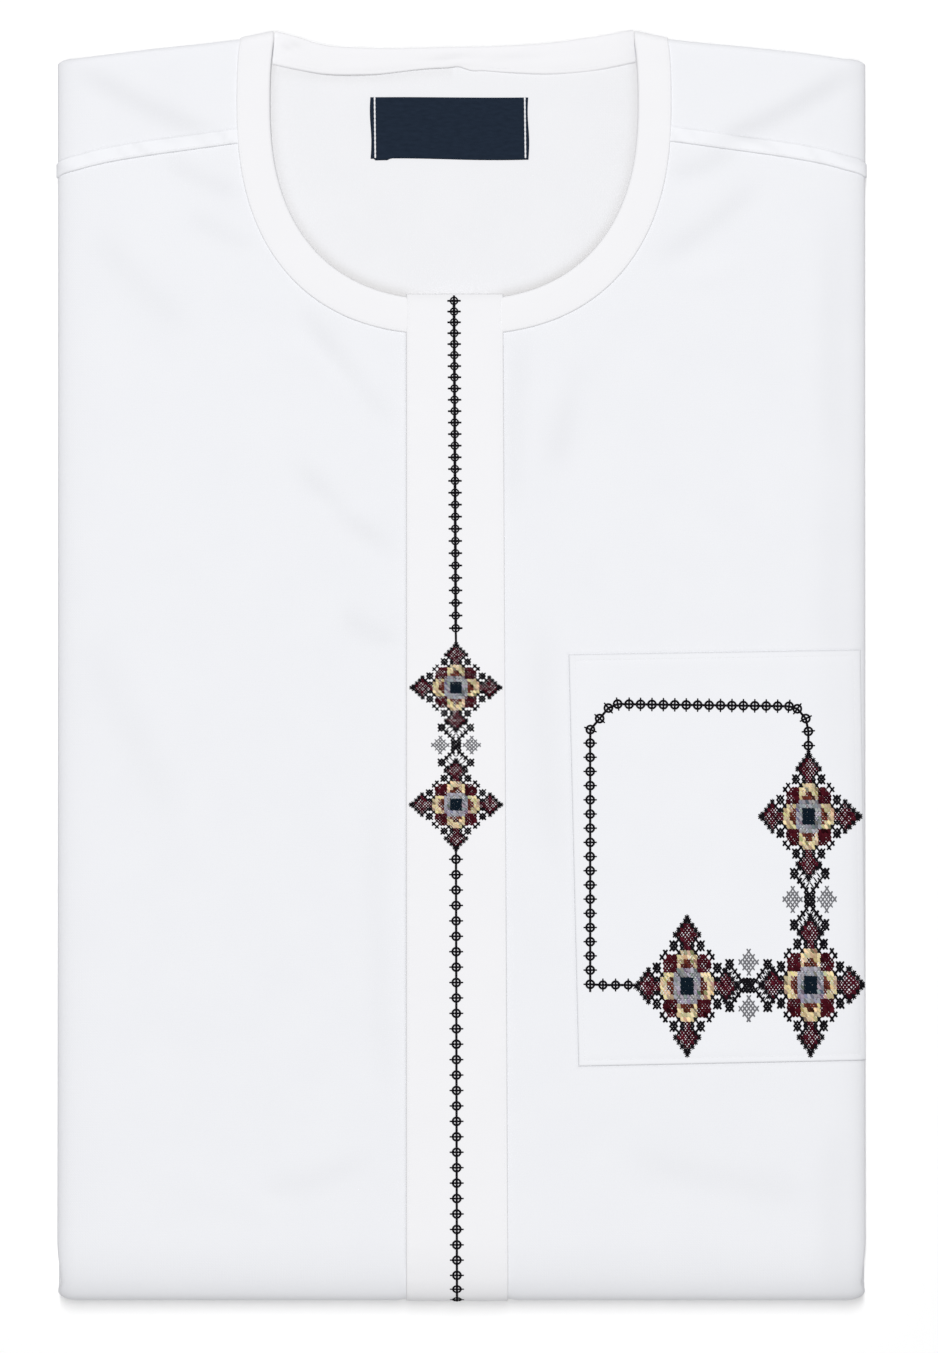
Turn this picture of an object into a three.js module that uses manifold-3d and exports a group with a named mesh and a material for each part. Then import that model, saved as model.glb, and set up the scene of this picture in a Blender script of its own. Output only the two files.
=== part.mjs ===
// A long-sleeved kaftan with a round neck, folded flat as it is kept on a shelf.
// Millimetres. +X is the right of a person who looks down on the front, +Y points to the neck,
// +Z is up. The origin is the middle of the underside, which rests on z = 0.
//
// The garment is drawn flat and then folded. Its sides are turned behind, and the skirt is turned
// up behind the chest, so the stack is two packets of cloth, one on the other, joined by the
// bottom fold. The front's cloth is the outside of both packets: it covers the chest, rounds the
// bottom fold and lies on the floor as far as the hem.

import * as THREE from 'three';
import { mergeVertices } from 'three/addons/utils/BufferGeometryUtils.js';
import Module from 'manifold-3d';

const wasm = await Module();
wasm.setup();

// Driving dimensions

const HALF_WIDTH = 161.4; // of the folded stack
const FOLD_END = -254.2; // y of the outside of the bottom fold
const HEIGHT_AT_FOLD = 18;
const HEIGHT_AT_NECK = 13.2;
const LEVEL_FROM = 125; // above this y the stack has its height at the neck
const HEM_Y = 240; // where the hem ends, under the shoulders

const ROLL = 3; // how far the cloth rounds out past the flat, at the sides and the shoulders
const PACKET_GAP = 0.4; // between the two packets
const GAP_AT_FOLD = 2.4;
const GAP_FADE = 70; // length over which the gap at the fold closes

const CLOTH = 1.2; // wall of the body cloth, with its turned edges
const TRIM = 1; // wall of the bands, the placket, the pocket and the label
const SEAM = 0.3; // space between pieces
const WELT_RISE = 0.5; // of the lapped shoulder seam above the yoke
const LAYER = SEAM + TRIM; // what one sewn-on piece adds to the height

const NECK = { x: -3, y: 225.2, power: 2.45 }; // centre of the neck's rounded outline
const NECK_STRAIGHT_FROM = 249; // above this y the outline's sides run straight up
const BAND_INSIDE = { across: 73.6, down: 80 }; // half axes of the neck band's two edges
const BAND_OUTSIDE = { across: 87, down: 94 };
const BAND_LIP = 0.13; // share of the band that is turned down over the cloth's edge
const BAND_LIP_FOOT = 0.155;
const NECK_CUT = 0.185; // share of the band where the body cloth ends under it

const PLACKET = { left: -22.2, rightTop: 16.7, rightFold: 18.7, top: 147.2, lip: 2 };
const RECESS = { margin: 0.6, slope: 2.4 }; // of the cloth over the placket, under the stack

const WELT_WIDTH = 6.3;
const SHOULDER_SEAM = { y: 208.2, from: 86, run: 75.5, slope: 10.2, curl: 4, power: 6 };

const LABEL = { left: -36.4, right: 26.8, low: 201.6, high: 226.4 };

const POCKET = {
  topLeft: [42.8, 3.4],
  topRight: [158.4, 5.3],
  lowLeft: [46.7, -160.4],
  lowRight: [161.2, -158],
};

// y of the body cloth's outline over the shoulders. Between the neck's two peaks it is cut away.
const SHOULDER_LINE = [
  { x: -161, y: 241.2 },
  { x: -124, y: 245.8 },
  { x: -104, y: 247.9 },
  { x: -89, y: 249.7 },
  { x: -82, y: 251 },
  { x: -74, y: 252.7 },
  { x: 68, y: 252.9 },
  { x: 76, y: 250.8 },
  { x: 83.5, y: 249.7 },
  { x: 97, y: 248.2 },
  { x: 116, y: 246.5 },
  { x: 136, y: 244.4 },
  { x: 161, y: 240.8 },
];

// The band inside the back of the neck: its two edges.
const BACK_NECK = [
  { x: -74.4, low: 239.6, high: 253.2 },
  { x: -66, low: 237.6, high: 250.8 },
  { x: -56, low: 235.8, high: 247.7 },
  { x: -38, low: 235.4, high: 246.2 },
  { x: -7, low: 238, high: 246.5 },
  { x: 18, low: 236.2, high: 247.1 },
  { x: 36, low: 235.6, high: 248.3 },
  { x: 54, low: 237.2, high: 250.9 },
  { x: 68.4, low: 240.4, high: 253.6 },
];

const FOLD_RADIUS = HEIGHT_AT_FOLD / 2;
const FOLD_START = FOLD_END + FOLD_RADIUS;
const FOLD_LENGTH = Math.PI * FOLD_RADIUS;
const FOLD_STEPS = 10;
const SIDE_START = HALF_WIDTH - ROLL; // where the flat cloth begins to turn under

const clamp = THREE.MathUtils.clamp;
const lerp = THREE.MathUtils.lerp;

/** The value of one column of a table of rows at x, on straight lines between the rows. */
function along(rows, x, column) {
  const last = rows.length - 1;
  const i = clamp(rows.findIndex((row) => row.x > x) - 1, 0, last - 1);
  const k = x >= rows[last].x ? last - 1 : i;
  const share = clamp((x - rows[k].x) / (rows[k + 1].x - rows[k].x), 0, 1);
  return lerp(rows[k][column], rows[k + 1][column], share);
}

// The shape of the folded stack

/** Height of the stack's upper face: level at the neck, rising towards the bottom fold. */
function height(y) {
  const s = clamp((LEVEL_FROM - y) / (LEVEL_FROM - FOLD_START), 0, 1);
  return HEIGHT_AT_NECK + (HEIGHT_AT_FOLD - HEIGHT_AT_NECK) * s ** 1.5;
}

/** Thickness of one packet: half of what the gap between the two leaves. */
function packet(y) {
  const s = clamp(1 - (y - FOLD_START) / GAP_FADE, 0, 1);
  const gap = PACKET_GAP + (GAP_AT_FOLD - PACKET_GAP) * s * s;
  return (height(y) - gap) / 2;
}

/** y on the floor of a flat y: under the stack the pattern runs back towards the neck. */
function foldedY(y) {
  const beyond = FOLD_START - y;
  return beyond <= 0 ? y : FOLD_START + Math.max(beyond - FOLD_LENGTH, 0);
}

/** The flat y whose cloth lies under the stack at a y of the folded garment. */
const underside = (y) => FOLD_START - FOLD_LENGTH - (y - FOLD_START);

/** Arc length of the half turn of the cloth's edge at a flat y. */
const turnLength = (y) => (Math.PI * (ROLL + packet(foldedY(y)) / 2)) / 2;

const shoulderStart = (x) => along(SHOULDER_LINE, clamp(x, -SIDE_START, SIDE_START), 'y') - ROLL;

/** How far the cloth is let in above the placket where both lie on the floor. */
function recess(x, y) {
  const round = clamp((FOLD_START - y) / FOLD_LENGTH, 0, 1);
  const left = PLACKET.left - RECESS.margin - x;
  const right = x - PLACKET.rightFold - RECESS.margin;
  const share = clamp(1 - Math.max(left, right, 0) / RECESS.slope, 0, 1);
  return (LAYER * share * (1 - Math.cos(Math.PI * round))) / 2;
}

/** The x of the recess's edges, from left to right. */
const RECESS_EDGES = [
  PLACKET.left - RECESS.margin - RECESS.slope,
  PLACKET.left - RECESS.margin,
  PLACKET.rightFold + RECESS.margin,
  PLACKET.rightFold + RECESS.margin + RECESS.slope,
];

/** A point of the stack: folded sideways to x, at a depth under the outside, and folded at y. */
function fold(x, y, outward, depth) {
  const beyond = FOLD_START - y;
  if (beyond <= 0) return new THREE.Vector3(x, y + outward, height(y) - depth);
  if (beyond >= FOLD_LENGTH) return new THREE.Vector3(x, foldedY(y), depth);
  const angle = beyond / FOLD_RADIUS;
  const radius = FOLD_RADIUS - depth;
  const z = FOLD_RADIUS + radius * Math.cos(angle);
  return new THREE.Vector3(x, FOLD_START - radius * Math.sin(angle), z);
}

/**
 * A point of the flat pattern as it lies in the folded garment, lifted off the cloth's outside.
 * Past the flat, at a side or a shoulder, it follows half an ellipse round the packet's edge.
 */
function roll(x, y, lift) {
  const flatX = clamp(x, -SIDE_START, SIDE_START);
  const flatY = Math.min(y, shoulderStart(flatX));
  const pastX = x - flatX;
  const pastY = y - flatY;
  const past = Math.max(Math.abs(pastX), pastY);
  const half = packet(foldedY(flatY)) / 2;
  const turn = Math.min(past / ((ROLL + half) / 2), Math.PI);
  const normalOut = half * Math.sin(turn);
  const normalUp = ROLL * Math.cos(turn);
  const scale = lift / Math.hypot(normalOut, normalUp);
  const out = ROLL * Math.sin(turn) + normalOut * scale;
  const depth = half * (1 - Math.cos(turn)) - normalUp * scale + recess(x, y);
  const reach = Math.hypot(pastX, pastY) || 1;
  return { x: flatX + (out * pastX) / reach, y: flatY, outward: (out * pastY) / reach, depth };
}

function lay(x, y, lift) {
  const at = roll(x, y, lift);
  return fold(at.x, at.y, at.outward, at.depth);
}

// Turning grids of points into solids

/** A closed wall between two grids of points with the same rows and columns. */
function wall(outer, inner) {
  const rows = outer.length;
  const columns = outer[0].length;
  const points = [...outer.flat(), ...inner.flat()];
  const half = rows * columns;
  const index = [];
  const quad = (a, b, c, d) => index.push(a, b, c, a, c, d);
  const at = (i, j) => i * columns + j;
  for (let i = 0; i < rows - 1; i++) {
    for (let j = 0; j < columns - 1; j++) {
      quad(at(i, j), at(i, j + 1), at(i + 1, j + 1), at(i + 1, j));
      quad(half + at(i, j), half + at(i + 1, j), half + at(i + 1, j + 1), half + at(i, j + 1));
    }
  }
  const rim = (a, b) => quad(a, half + a, half + b, b);
  for (let j = 0; j < columns - 1; j++) {
    rim(at(0, j), at(0, j + 1));
    rim(at(rows - 1, j + 1), at(rows - 1, j));
  }
  for (let i = 0; i < rows - 1; i++) {
    rim(at(i + 1, 0), at(i, 0));
    rim(at(i, columns - 1), at(i + 1, columns - 1));
  }
  const geometry = new THREE.BufferGeometry().setFromPoints(points);
  geometry.setIndex(index);
  return outward(geometry);
}

/** The same solid with its faces turned outwards. */
function outward(geometry) {
  const place = geometry.getAttribute('position');
  const index = geometry.getIndex();
  const [a, b, c] = [new THREE.Vector3(), new THREE.Vector3(), new THREE.Vector3()];
  let volume = 0;
  for (let k = 0; k < index.count; k += 3) {
    a.fromBufferAttribute(place, index.getX(k));
    b.fromBufferAttribute(place, index.getX(k + 1));
    c.fromBufferAttribute(place, index.getX(k + 2));
    volume += a.dot(b.cross(c));
  }
  if (volume < 0) geometry.setIndex([...index.array].reverse());
  return geometry;
}

const each = (value, row, column) => (typeof value === 'function' ? value(row, column) : value);

/** A piece of cloth cut to a grid of flat points and laid on the garment between two lifts. */
function clothPiece(grid, top, bottom) {
  const raise = (lift) => grid.map((row, i) => row.map(([x, y], j) => lay(x, y, each(lift, i, j))));
  return wall(raise(top), raise(bottom));
}

/** A piece inside the neck, where the stack is level: a grid of flat points and two depths. */
function levelPiece(grid, top, bottom) {
  const sink = (depth) =>
    grid.map((row, i) =>
      row.map(([x, y], j) => new THREE.Vector3(x, y, HEIGHT_AT_NECK - each(depth, i, j))),
    );
  return wall(sink(top), sink(bottom));
}

/** An outline of [x, y] points as an upright prism between two heights. */
function prism(outline, low, high) {
  const shape = new THREE.Shape(outline.map(([x, y]) => new THREE.Vector2(x, y)));
  const geometry = new THREE.ExtrudeGeometry(shape, { depth: high - low, bevelEnabled: false });
  return geometry.translate(0, 0, low);
}

function solid(geometry) {
  const bare = geometry.clone();
  bare.deleteAttribute('normal');
  bare.deleteAttribute('uv');
  const merged = mergeVertices(bare, 1e-5);
  const vertProperties = new Float32Array(merged.getAttribute('position').array);
  const triVerts = new Uint32Array(merged.getIndex().array);
  return new wasm.Manifold(new wasm.Mesh({ numProp: 3, vertProperties, triVerts }));
}

function geometryOf(manifold) {
  const mesh = manifold.getMesh();
  const geometry = new THREE.BufferGeometry();
  geometry.setAttribute('position', new THREE.BufferAttribute(mesh.vertProperties, 3));
  geometry.setIndex(new THREE.BufferAttribute(mesh.triVerts, 1));
  return geometry;
}

/** Whole numbers of equal steps from one value to another, both ends counted. */
const steps = (from, to, count) =>
  Array.from({ length: count + 1 }, (_, i) => lerp(from, to, i / count));

// The neck's outlines

/** A rounded outline between the neck band's two edges: share 0 is the inside, 1 the outside. */
const neckAxes = (share) => ({
  across: lerp(BAND_INSIDE.across, BAND_OUTSIDE.across, share),
  down: lerp(BAND_INSIDE.down, BAND_OUTSIDE.down, share),
});

/** Half the neck's width at a y above or below its centre. */
function neckHalf(share, y) {
  const { across, down } = neckAxes(share);
  const rise = Math.min(Math.abs(y - NECK.y) / down, 1);
  return across * (1 - rise ** NECK.power) ** (1 / NECK.power);
}

/** A point on the lower half of an outline, from its side (angle 0) to its bottom. */
function neckPoint(share, angle, side) {
  const { across, down } = neckAxes(share);
  const x = across * Math.cos(angle) ** (2 / NECK.power);
  const y = down * Math.sin(angle) ** (2 / NECK.power);
  return [NECK.x + side * x, NECK.y - y];
}

/** The neck's opening in the body cloth, carried on past the shoulders. */
function neckOutline(share, top) {
  const quarter = steps(0, Math.PI / 2, 24);
  const left = quarter.map((angle) => neckPoint(share, angle, -1));
  const right = quarter.map((angle) => neckPoint(share, angle, 1)).reverse();
  const heights = [234, 242, NECK_STRAIGHT_FROM];
  const up = (side) => heights.map((y) => [NECK.x + side * neckHalf(share, y), y]);
  const last = neckHalf(share, NECK_STRAIGHT_FROM);
  const head = [[NECK.x + last, top], [NECK.x - last, top]];
  return [...left, ...right.slice(1), ...up(1), ...head, ...up(-1).reverse()];
}

// The body cloth: one folded wall, cut into the front and the two yokes

const CUT_LOW = HEIGHT_AT_NECK / 2; // cuts reach down to the gap between the packets
const CUT_HIGH = HEIGHT_AT_NECK + 10;
const CUT_TOP = 275; // y, past the shoulders

function seamY(x) {
  const t = Math.min((Math.abs(x) - SHOULDER_SEAM.from) / SHOULDER_SEAM.run, 1);
  const curl = SHOULDER_SEAM.curl * Math.max(t, 0) ** SHOULDER_SEAM.power;
  return SHOULDER_SEAM.y - SHOULDER_SEAM.slope * t - curl;
}

/** All that lies above the shoulder seam on one side, from a distance off the seam line. */
function aboveSeam(side, offset) {
  const [inside, outside] = [40, 175]; // x, in the neck's opening and past the side
  const seam = [SHOULDER_SEAM.from, 100, 115, 130, 140, 148, 154, 158, HALF_WIDTH];
  const line = [inside, ...seam, outside].map((x) => [side * x, seamY(x) + offset]);
  const above = [[side * outside, CUT_TOP], [side * inside, CUT_TOP]];
  return solid(prism([...line, ...above], CUT_LOW, CUT_HIGH));
}

/** Rows of the grids, as y of the folded garment: on the upper face, and back on the floor. */
const UPPER_ROWS = [LEVEL_FROM, 85, 45, 0, -50, -100, -150, -190, -220];
const FLOOR_ROWS = [...UPPER_ROWS.toReversed(), 180, HEM_Y];
const FOLD_ROWS = steps(FOLD_START, FOLD_START - FOLD_LENGTH, FOLD_STEPS);

function bodyGrid() {
  const turn = steps(0, 1, 6).slice(1);
  const shoulders = SHOULDER_LINE.slice(1, -1).map((row) => row.x);
  const flat = [-SIDE_START, ...shoulders, -50, ...RECESS_EDGES, 48, SIDE_START];
  flat.sort((a, b) => a - b);
  const columns = [
    ...turn.map((share) => ({ x: -SIDE_START, share: -share })).reverse(),
    ...flat.map((x) => ({ x, share: 0 })),
    ...turn.map((share) => ({ x: SIDE_START, share })),
  ];
  const rows = [
    ...turn.map((share) => (x) => shoulderStart(x) + share * turnLength(HEM_Y)).reverse(),
    shoulderStart,
    ...[225, 200, 165, ...UPPER_ROWS, ...FOLD_ROWS].map((y) => () => y),
    ...FLOOR_ROWS.map((y) => () => underside(y)),
  ];
  return rows.map((row) =>
    columns.map(({ x, share }) => [x + share * turnLength(row(x)), row(x)]),
  );
}

const bodyCloth = solid(clothPiece(bodyGrid(), 0, -CLOTH));
const neckCut = solid(prism(neckOutline(NECK_CUT, CUT_TOP), CUT_LOW, CUT_HIGH));

const frontPanel = bodyCloth
  .subtract(aboveSeam(-1, -SEAM / 2))
  .subtract(aboveSeam(1, -SEAM / 2))
  .subtract(neckCut);

/** The lapped shoulder seam: a double edge that stands up along the yoke's lower edge. */
function welt(side) {
  const inside = side * NECK.x + neckHalf(1, SHOULDER_SEAM.y + WELT_WIDTH) + SEAM;
  const reach = SIDE_START + 0.6 * turnLength(SHOULDER_SEAM.y);
  const xs = [...steps(inside, SIDE_START, 6), ...steps(SIDE_START, reach, 5).slice(1)];
  const edge = (rise) => xs.map((x) => [side * x, seamY(x) + rise]);
  const grid = [edge(SEAM), edge(WELT_WIDTH / 2), edge(WELT_WIDTH)];
  return solid(clothPiece(grid, WELT_RISE, -CLOTH / 2));
}

function yoke(side) {
  const cut = bodyCloth.intersect(aboveSeam(side, SEAM / 2)).subtract(neckCut);
  return geometryOf(cut.add(welt(side)));
}

// The neck: the bands, the inside of the back and its label

const SHARES = [0, BAND_LIP, BAND_LIP_FOOT, 0.55, 1];
const BAND_TURN = 0.6; // share of the shoulder's half turn that the bands go round

function neckBand(side) {
  const edge = side < 0 ? PLACKET.left : PLACKET.rightTop;
  const stop = side * (edge - NECK.x) + SEAM;
  const bottom = (share) => Math.acos((stop / neckAxes(share).across) ** (NECK.power / 2));
  const curve = steps(1, 0, 20).map((s) => SHARES.map((f) => neckPoint(f, s * bottom(f), side)));
  const upperX = (f, y) => NECK.x + side * neckHalf(f, Math.min(y, NECK_STRAIGHT_FROM));
  const startY = (f) => shoulderStart(upperX(f, NECK_STRAIGHT_FROM));
  const rise = steps(0, 1, 4).slice(1).map((s) =>
    SHARES.map((f) => {
      const y = lerp(NECK.y, startY(f), s);
      return [upperX(f, y), y];
    }),
  );
  const over = steps(0, BAND_TURN, 5).slice(1).map((s) =>
    SHARES.map((f) => [upperX(f, startY(f)), startY(f) + s * turnLength(HEM_Y)]),
  );
  const under = (row, column) => (column < 2 ? -CLOTH : SEAM);
  return clothPiece([...curve, ...rise, ...over], LAYER, under);
}

const BACK_DEPTH = CLOTH + SEAM; // of the back's inner face under the front's outside
const BACK_BAND_LIP = 1.8;
const BACK_BAND_LIP_SHARE = 0.12; // of the band's width, turned down over the edge

function neckBandBack() {
  const xs = BACK_NECK.map((row) => row.x);
  const lean = 1.6; // the band's ends follow the slope of the front bands' inner edges
  const grid = [1, BACK_BAND_LIP_SHARE + 0.04, BACK_BAND_LIP_SHARE, 0].map((share) =>
    xs.map((x, i) => {
      const end = i === 0 ? -1 : i === xs.length - 1 ? 1 : 0;
      const y = lerp(BACK_NECK[i].high, BACK_NECK[i].low, share);
      return [x + end * lean * (share - 0.5), y];
    }),
  );
  const under = (row) => (row < 2 ? BACK_DEPTH - SEAM : BACK_DEPTH + CLOTH + SEAM);
  return levelPiece(grid, BACK_DEPTH - LAYER, under);
}

/** The back's outline in the neck: a margin under the front, and the upper edge in its band. */
function backOutline(margin, top) {
  const share = 0.75;
  const quarter = steps(0, Math.PI / 2, 12);
  const grow = ([x, y], side) => [x + side * margin, y - margin];
  const left = quarter.map((angle) => grow(neckPoint(share, angle, -1), -1));
  const right = quarter.map((angle) => grow(neckPoint(share, angle, 1), 1)).reverse();
  const ends = { left: -71.5 - margin, right: 65.5 + margin }; // no wider than the opening
  const xs = [ends.right, ...BACK_NECK.slice(1, -1).map((row) => row.x).reverse(), ends.left];
  const edge = xs.map((x) => [x, along(BACK_NECK, x, 'high') - BACK_BAND_LIP - SEAM + top]);
  const step = 240; // where the back narrows to the opening
  return [
    ...left,
    ...right.slice(1),
    [right[right.length - 1][0], step],
    [ends.right, step],
    ...edge,
    [ends.left, step],
    [left[0][0], step],
  ];
}

function backPanel() {
  return prism(
    backOutline(0, 0),
    HEIGHT_AT_NECK - BACK_DEPTH - CLOTH,
    HEIGHT_AT_NECK - BACK_DEPTH,
  );
}

function label() {
  const width = LABEL.right - LABEL.left;
  const depth = LABEL.high - LABEL.low;
  const top = HEIGHT_AT_NECK - BACK_DEPTH + LAYER;
  const middle = [(LABEL.left + LABEL.right) / 2, (LABEL.low + LABEL.high) / 2, top - TRIM / 2];
  return new THREE.BoxGeometry(width, depth, TRIM).translate(...middle);
}

// The placket and the pocket

function placket() {
  const right = (y) => {
    const share = clamp((PLACKET.top - y) / (PLACKET.top - FOLD_START), 0, 1);
    return lerp(PLACKET.rightTop, PLACKET.rightFold, share);
  };
  const rows = [
    PLACKET.top,
    PLACKET.top - PLACKET.lip,
    PLACKET.top - PLACKET.lip - SEAM,
    ...UPPER_ROWS,
    ...FOLD_ROWS,
    ...FLOOR_ROWS.map(underside),
  ];
  const grid = rows.map((y) => [0, 0.5, 1].map((s) => [lerp(PLACKET.left, right(y), s), y]));
  const under = (row) => (row < 2 ? -CLOTH : SEAM);
  return clothPiece(grid, LAYER, under);
}

function pocket() {
  const { topLeft, topRight, lowLeft, lowRight } = POCKET;
  const corner = (s, t, k) =>
    lerp(lerp(topLeft[k], topRight[k], s), lerp(lowLeft[k], lowRight[k], s), t);
  const across = [0, 0.35, 0.7, 0.96, 0.975, 0.99, 1];
  const grid = steps(0, 1, 5).map((t) => across.map((s) => [corner(s, t, 0), corner(s, t, 1)]));
  return clothPiece(grid, LAYER, SEAM);
}

// The folded layers inside: back, sleeves and turned sides

const CORE_LIFT = -(CLOTH + SEAM);
const CORE_STEP = 0.5; // room for the turned edge of the body cloth
const CORE_TURNS = [0.12, 0.27, 0.42]; // shares of the half turn, on the way to the packet's side
const CORE_BEHIND_BAND = 4; // y between the back band's upper edge and the layers under it
const HEM_LAYERS = [
  { low: 0, high: 2.95, end: 238 },
  { low: 3.3, high: 4.6, end: 234.5 },
  { low: 4.95, high: 10, end: 237 },
];
const HEM_SLOT_DEPTH = 12;
const NECK_LAYERS = { slot: 8.4, width: 0.4, depth: 7 };

function coreEnd(x) {
  const inNeck = x > BACK_NECK[1].x && x < BACK_NECK[BACK_NECK.length - 2].x;
  if (inNeck) return along(BACK_NECK, x, 'high') - CORE_BEHIND_BAND;
  return shoulderStart(x) - CORE_STEP;
}

/** Both packets and the fold between them, as one wall from the cloth to the gap. */
function core() {
  const left = [-124, -104, -89, -74, -66, -50];
  const flat = [...left, ...RECESS_EDGES, 35, 54, 68, 76, 83.5, 97, 116, 136];
  const shoulders = [-SIDE_START, -SIDE_START + CORE_STEP];
  const columns = [
    ...CORE_TURNS.map((share) => ({ x: -SIDE_START, share: -share })).reverse(),
    ...shoulders.map((x) => ({ x, share: 0 })),
    ...flat.map((x) => ({ x, share: 0 })),
    ...shoulders.map((x) => ({ x: -x, share: 0 })).reverse(),
    ...CORE_TURNS.map((share) => ({ x: SIDE_START, share })),
  ];
  const rows = [
    coreEnd,
    ...[225, LEVEL_FROM, 60, 0, -60, -120, -180, -215].map((y) => () => y),
    ...FOLD_ROWS.map((y) => () => y),
    ...[-215, -180, -120, -60, 0, 60, LEVEL_FROM, HEM_LAYERS[0].end].map(
      (y) => () => underside(y),
    ),
  ];
  const points = (deep) =>
    rows.map((row) =>
      columns.map(({ x, share }) => {
        const y = row(x);
        const at = roll(x + share * turnLength(y), y, CORE_LIFT);
        const thick = packet(foldedY(y));
        const inFlat = Math.abs(x) < SIDE_START - CORE_STEP / 2;
        const mirrored = inFlat ? thick : thick - at.depth;
        return fold(at.x, at.y, 0, deep ? mirrored : at.depth);
      }),
    );
  return solid(wall(points(false), points(true)));
}

function slab(low, high, from, to) {
  const side = HALF_WIDTH + 10;
  return solid(prism([[-side, from], [side, from], [side, to], [-side, to]], low, high));
}

/** The layers show as steps and slots at the hem, and as a slot under the back of the neck. */
function foldedLayers() {
  const recessTop = solid(
    prism(backOutline(SEAM, 10), HEIGHT_AT_NECK - BACK_DEPTH - CLOTH - SEAM, CUT_HIGH),
  );
  const past = HEM_Y + 20;
  let layers = core().subtract(recessTop);
  HEM_LAYERS.forEach(({ low, high, end }, i) => {
    const next = HEM_LAYERS[i + 1];
    const top = next ? high : CUT_LOW;
    layers = layers.subtract(slab(low - 1e-3, top + 1e-3, end, past));
    if (next) layers = layers.subtract(slab(high, next.low, end - HEM_SLOT_DEPTH, past));
  });
  const { slot, width, depth } = NECK_LAYERS;
  const left = BACK_NECK[0].x;
  const right = BACK_NECK[BACK_NECK.length - 1].x;
  const from = BACK_NECK[4].high - CORE_BEHIND_BAND - depth;
  const cut = prism([[left, from], [right, from], [right, past], [left, past]], slot, slot + width);
  return geometryOf(layers.subtract(solid(cut)));
}

// The pieces and their finishes

const WHITE_POPLIN = { color: 0xeff0f3, roughness: 0.85, metalness: 0 };
const WHITE_TRIM = { color: 0xf4f4f6, roughness: 0.82, metalness: 0 };
const HIDDEN_CLOTH = { color: 0xe9eaee, roughness: 0.9, metalness: 0 };
const NAVY_LABEL = { color: 0x1c2434, roughness: 0.6, metalness: 0 };

const kaftan = new THREE.Group();

function add(name, geometry, finish) {
  const mesh = new THREE.Mesh(geometry, new THREE.MeshStandardMaterial(finish));
  mesh.name = name;
  kaftan.add(mesh);
}

add('front_panel', geometryOf(frontPanel), WHITE_POPLIN);
add('yoke_left', yoke(-1), WHITE_POPLIN);
add('yoke_right', yoke(1), WHITE_POPLIN);
add('back_panel', backPanel(), WHITE_POPLIN);
add('neck_band_left', neckBand(-1), WHITE_TRIM);
add('neck_band_right', neckBand(1), WHITE_TRIM);
add('neck_band_back', neckBandBack(), WHITE_TRIM);
add('placket', placket(), WHITE_TRIM);
add('pocket', pocket(), WHITE_POPLIN);
add('label', label(), NAVY_LABEL);
add('folded_layers', foldedLayers(), HIDDEN_CLOTH);

export default kaftan;
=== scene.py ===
# %% [markdown]
# # A folded kaftan, cell by cell
#
# The object is a white kaftan folded flat: a round banded neck, a placket down the front, a patch
# pocket, and cross-stitch in black and colours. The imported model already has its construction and
# its real sizes. These cells make its looks: thin cloth with rounded edges and soft creases,
# topstitching, and embroidery of real threads.

# %% Load the frame
import math

import bpy
import numpy as np
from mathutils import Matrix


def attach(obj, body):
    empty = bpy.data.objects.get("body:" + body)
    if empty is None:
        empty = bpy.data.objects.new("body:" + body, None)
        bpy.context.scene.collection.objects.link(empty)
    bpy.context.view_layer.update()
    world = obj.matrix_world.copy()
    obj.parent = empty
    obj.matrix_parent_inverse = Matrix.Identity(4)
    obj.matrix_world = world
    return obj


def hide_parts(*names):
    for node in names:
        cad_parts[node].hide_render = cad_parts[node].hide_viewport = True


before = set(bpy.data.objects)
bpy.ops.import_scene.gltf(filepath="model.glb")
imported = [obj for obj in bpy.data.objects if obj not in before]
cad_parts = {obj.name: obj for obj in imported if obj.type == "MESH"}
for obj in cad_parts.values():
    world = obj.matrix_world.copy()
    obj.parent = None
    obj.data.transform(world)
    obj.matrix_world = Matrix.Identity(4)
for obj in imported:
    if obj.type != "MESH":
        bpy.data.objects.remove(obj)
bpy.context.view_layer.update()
print("pieces in the frame:", sorted(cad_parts))

# %% [markdown]
# ## Camera, floor and light
#
# Clothes for sale are shot from straight above on a white table. The camera stands high, so that
# the sides of the stack hardly show. Most of the light comes from a long softbox overhead, set a
# little towards the neck, and a white room fills the rest: the bottom fold turns away, darkens, and
# throws a thin soft shadow, and the sides throw none.

# %% The camera, straight above
MM = 0.001  # shapes are worked out in millimetres and put into the meshes in metres


def add(name, data, place=(0, 0, 0)):
    """A new object in the scene, `place` in metres."""
    thing = bpy.data.objects.new(name, data)
    thing.location = place
    bpy.context.scene.collection.objects.link(thing)
    return thing


def look_down(centre, view_height, distance, table):
    """A camera over `centre` whose image height takes in `view_height` mm at the height `table`."""
    data = bpy.data.cameras.new("camera")
    data.sensor_width = 36
    data.lens = data.sensor_width * (distance - table) / view_height
    data.clip_end = 20
    place = (centre[0] * MM, centre[1] * MM, distance * MM)
    bpy.context.scene.camera = add("camera", data, place)


look_down(centre=(3.0, -5.4), view_height=541.2, distance=2200, table=13)

# %% Light
view = bpy.context.scene.view_settings
view.view_transform = "Standard"
view.look = "None"


def white_room(strength):
    """An even white surround, which lights the cloth from every side."""
    world = bpy.data.worlds.new("white_room")
    world.use_nodes = True
    background = world.node_tree.nodes["Background"]
    background.inputs["Color"].default_value = (1.0, 1.0, 1.0, 1.0)
    background.inputs["Strength"].default_value = strength
    bpy.context.scene.world = world


def overhead_lamp(place, size, power):
    """A long softbox that faces straight down: `size` is across and along, all in metres."""
    data = bpy.data.lights.new("overhead_lamp", "AREA")
    data.shape = "RECTANGLE"
    data.size, data.size_y = size
    data.energy = power
    add("overhead_lamp", data, place)


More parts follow.
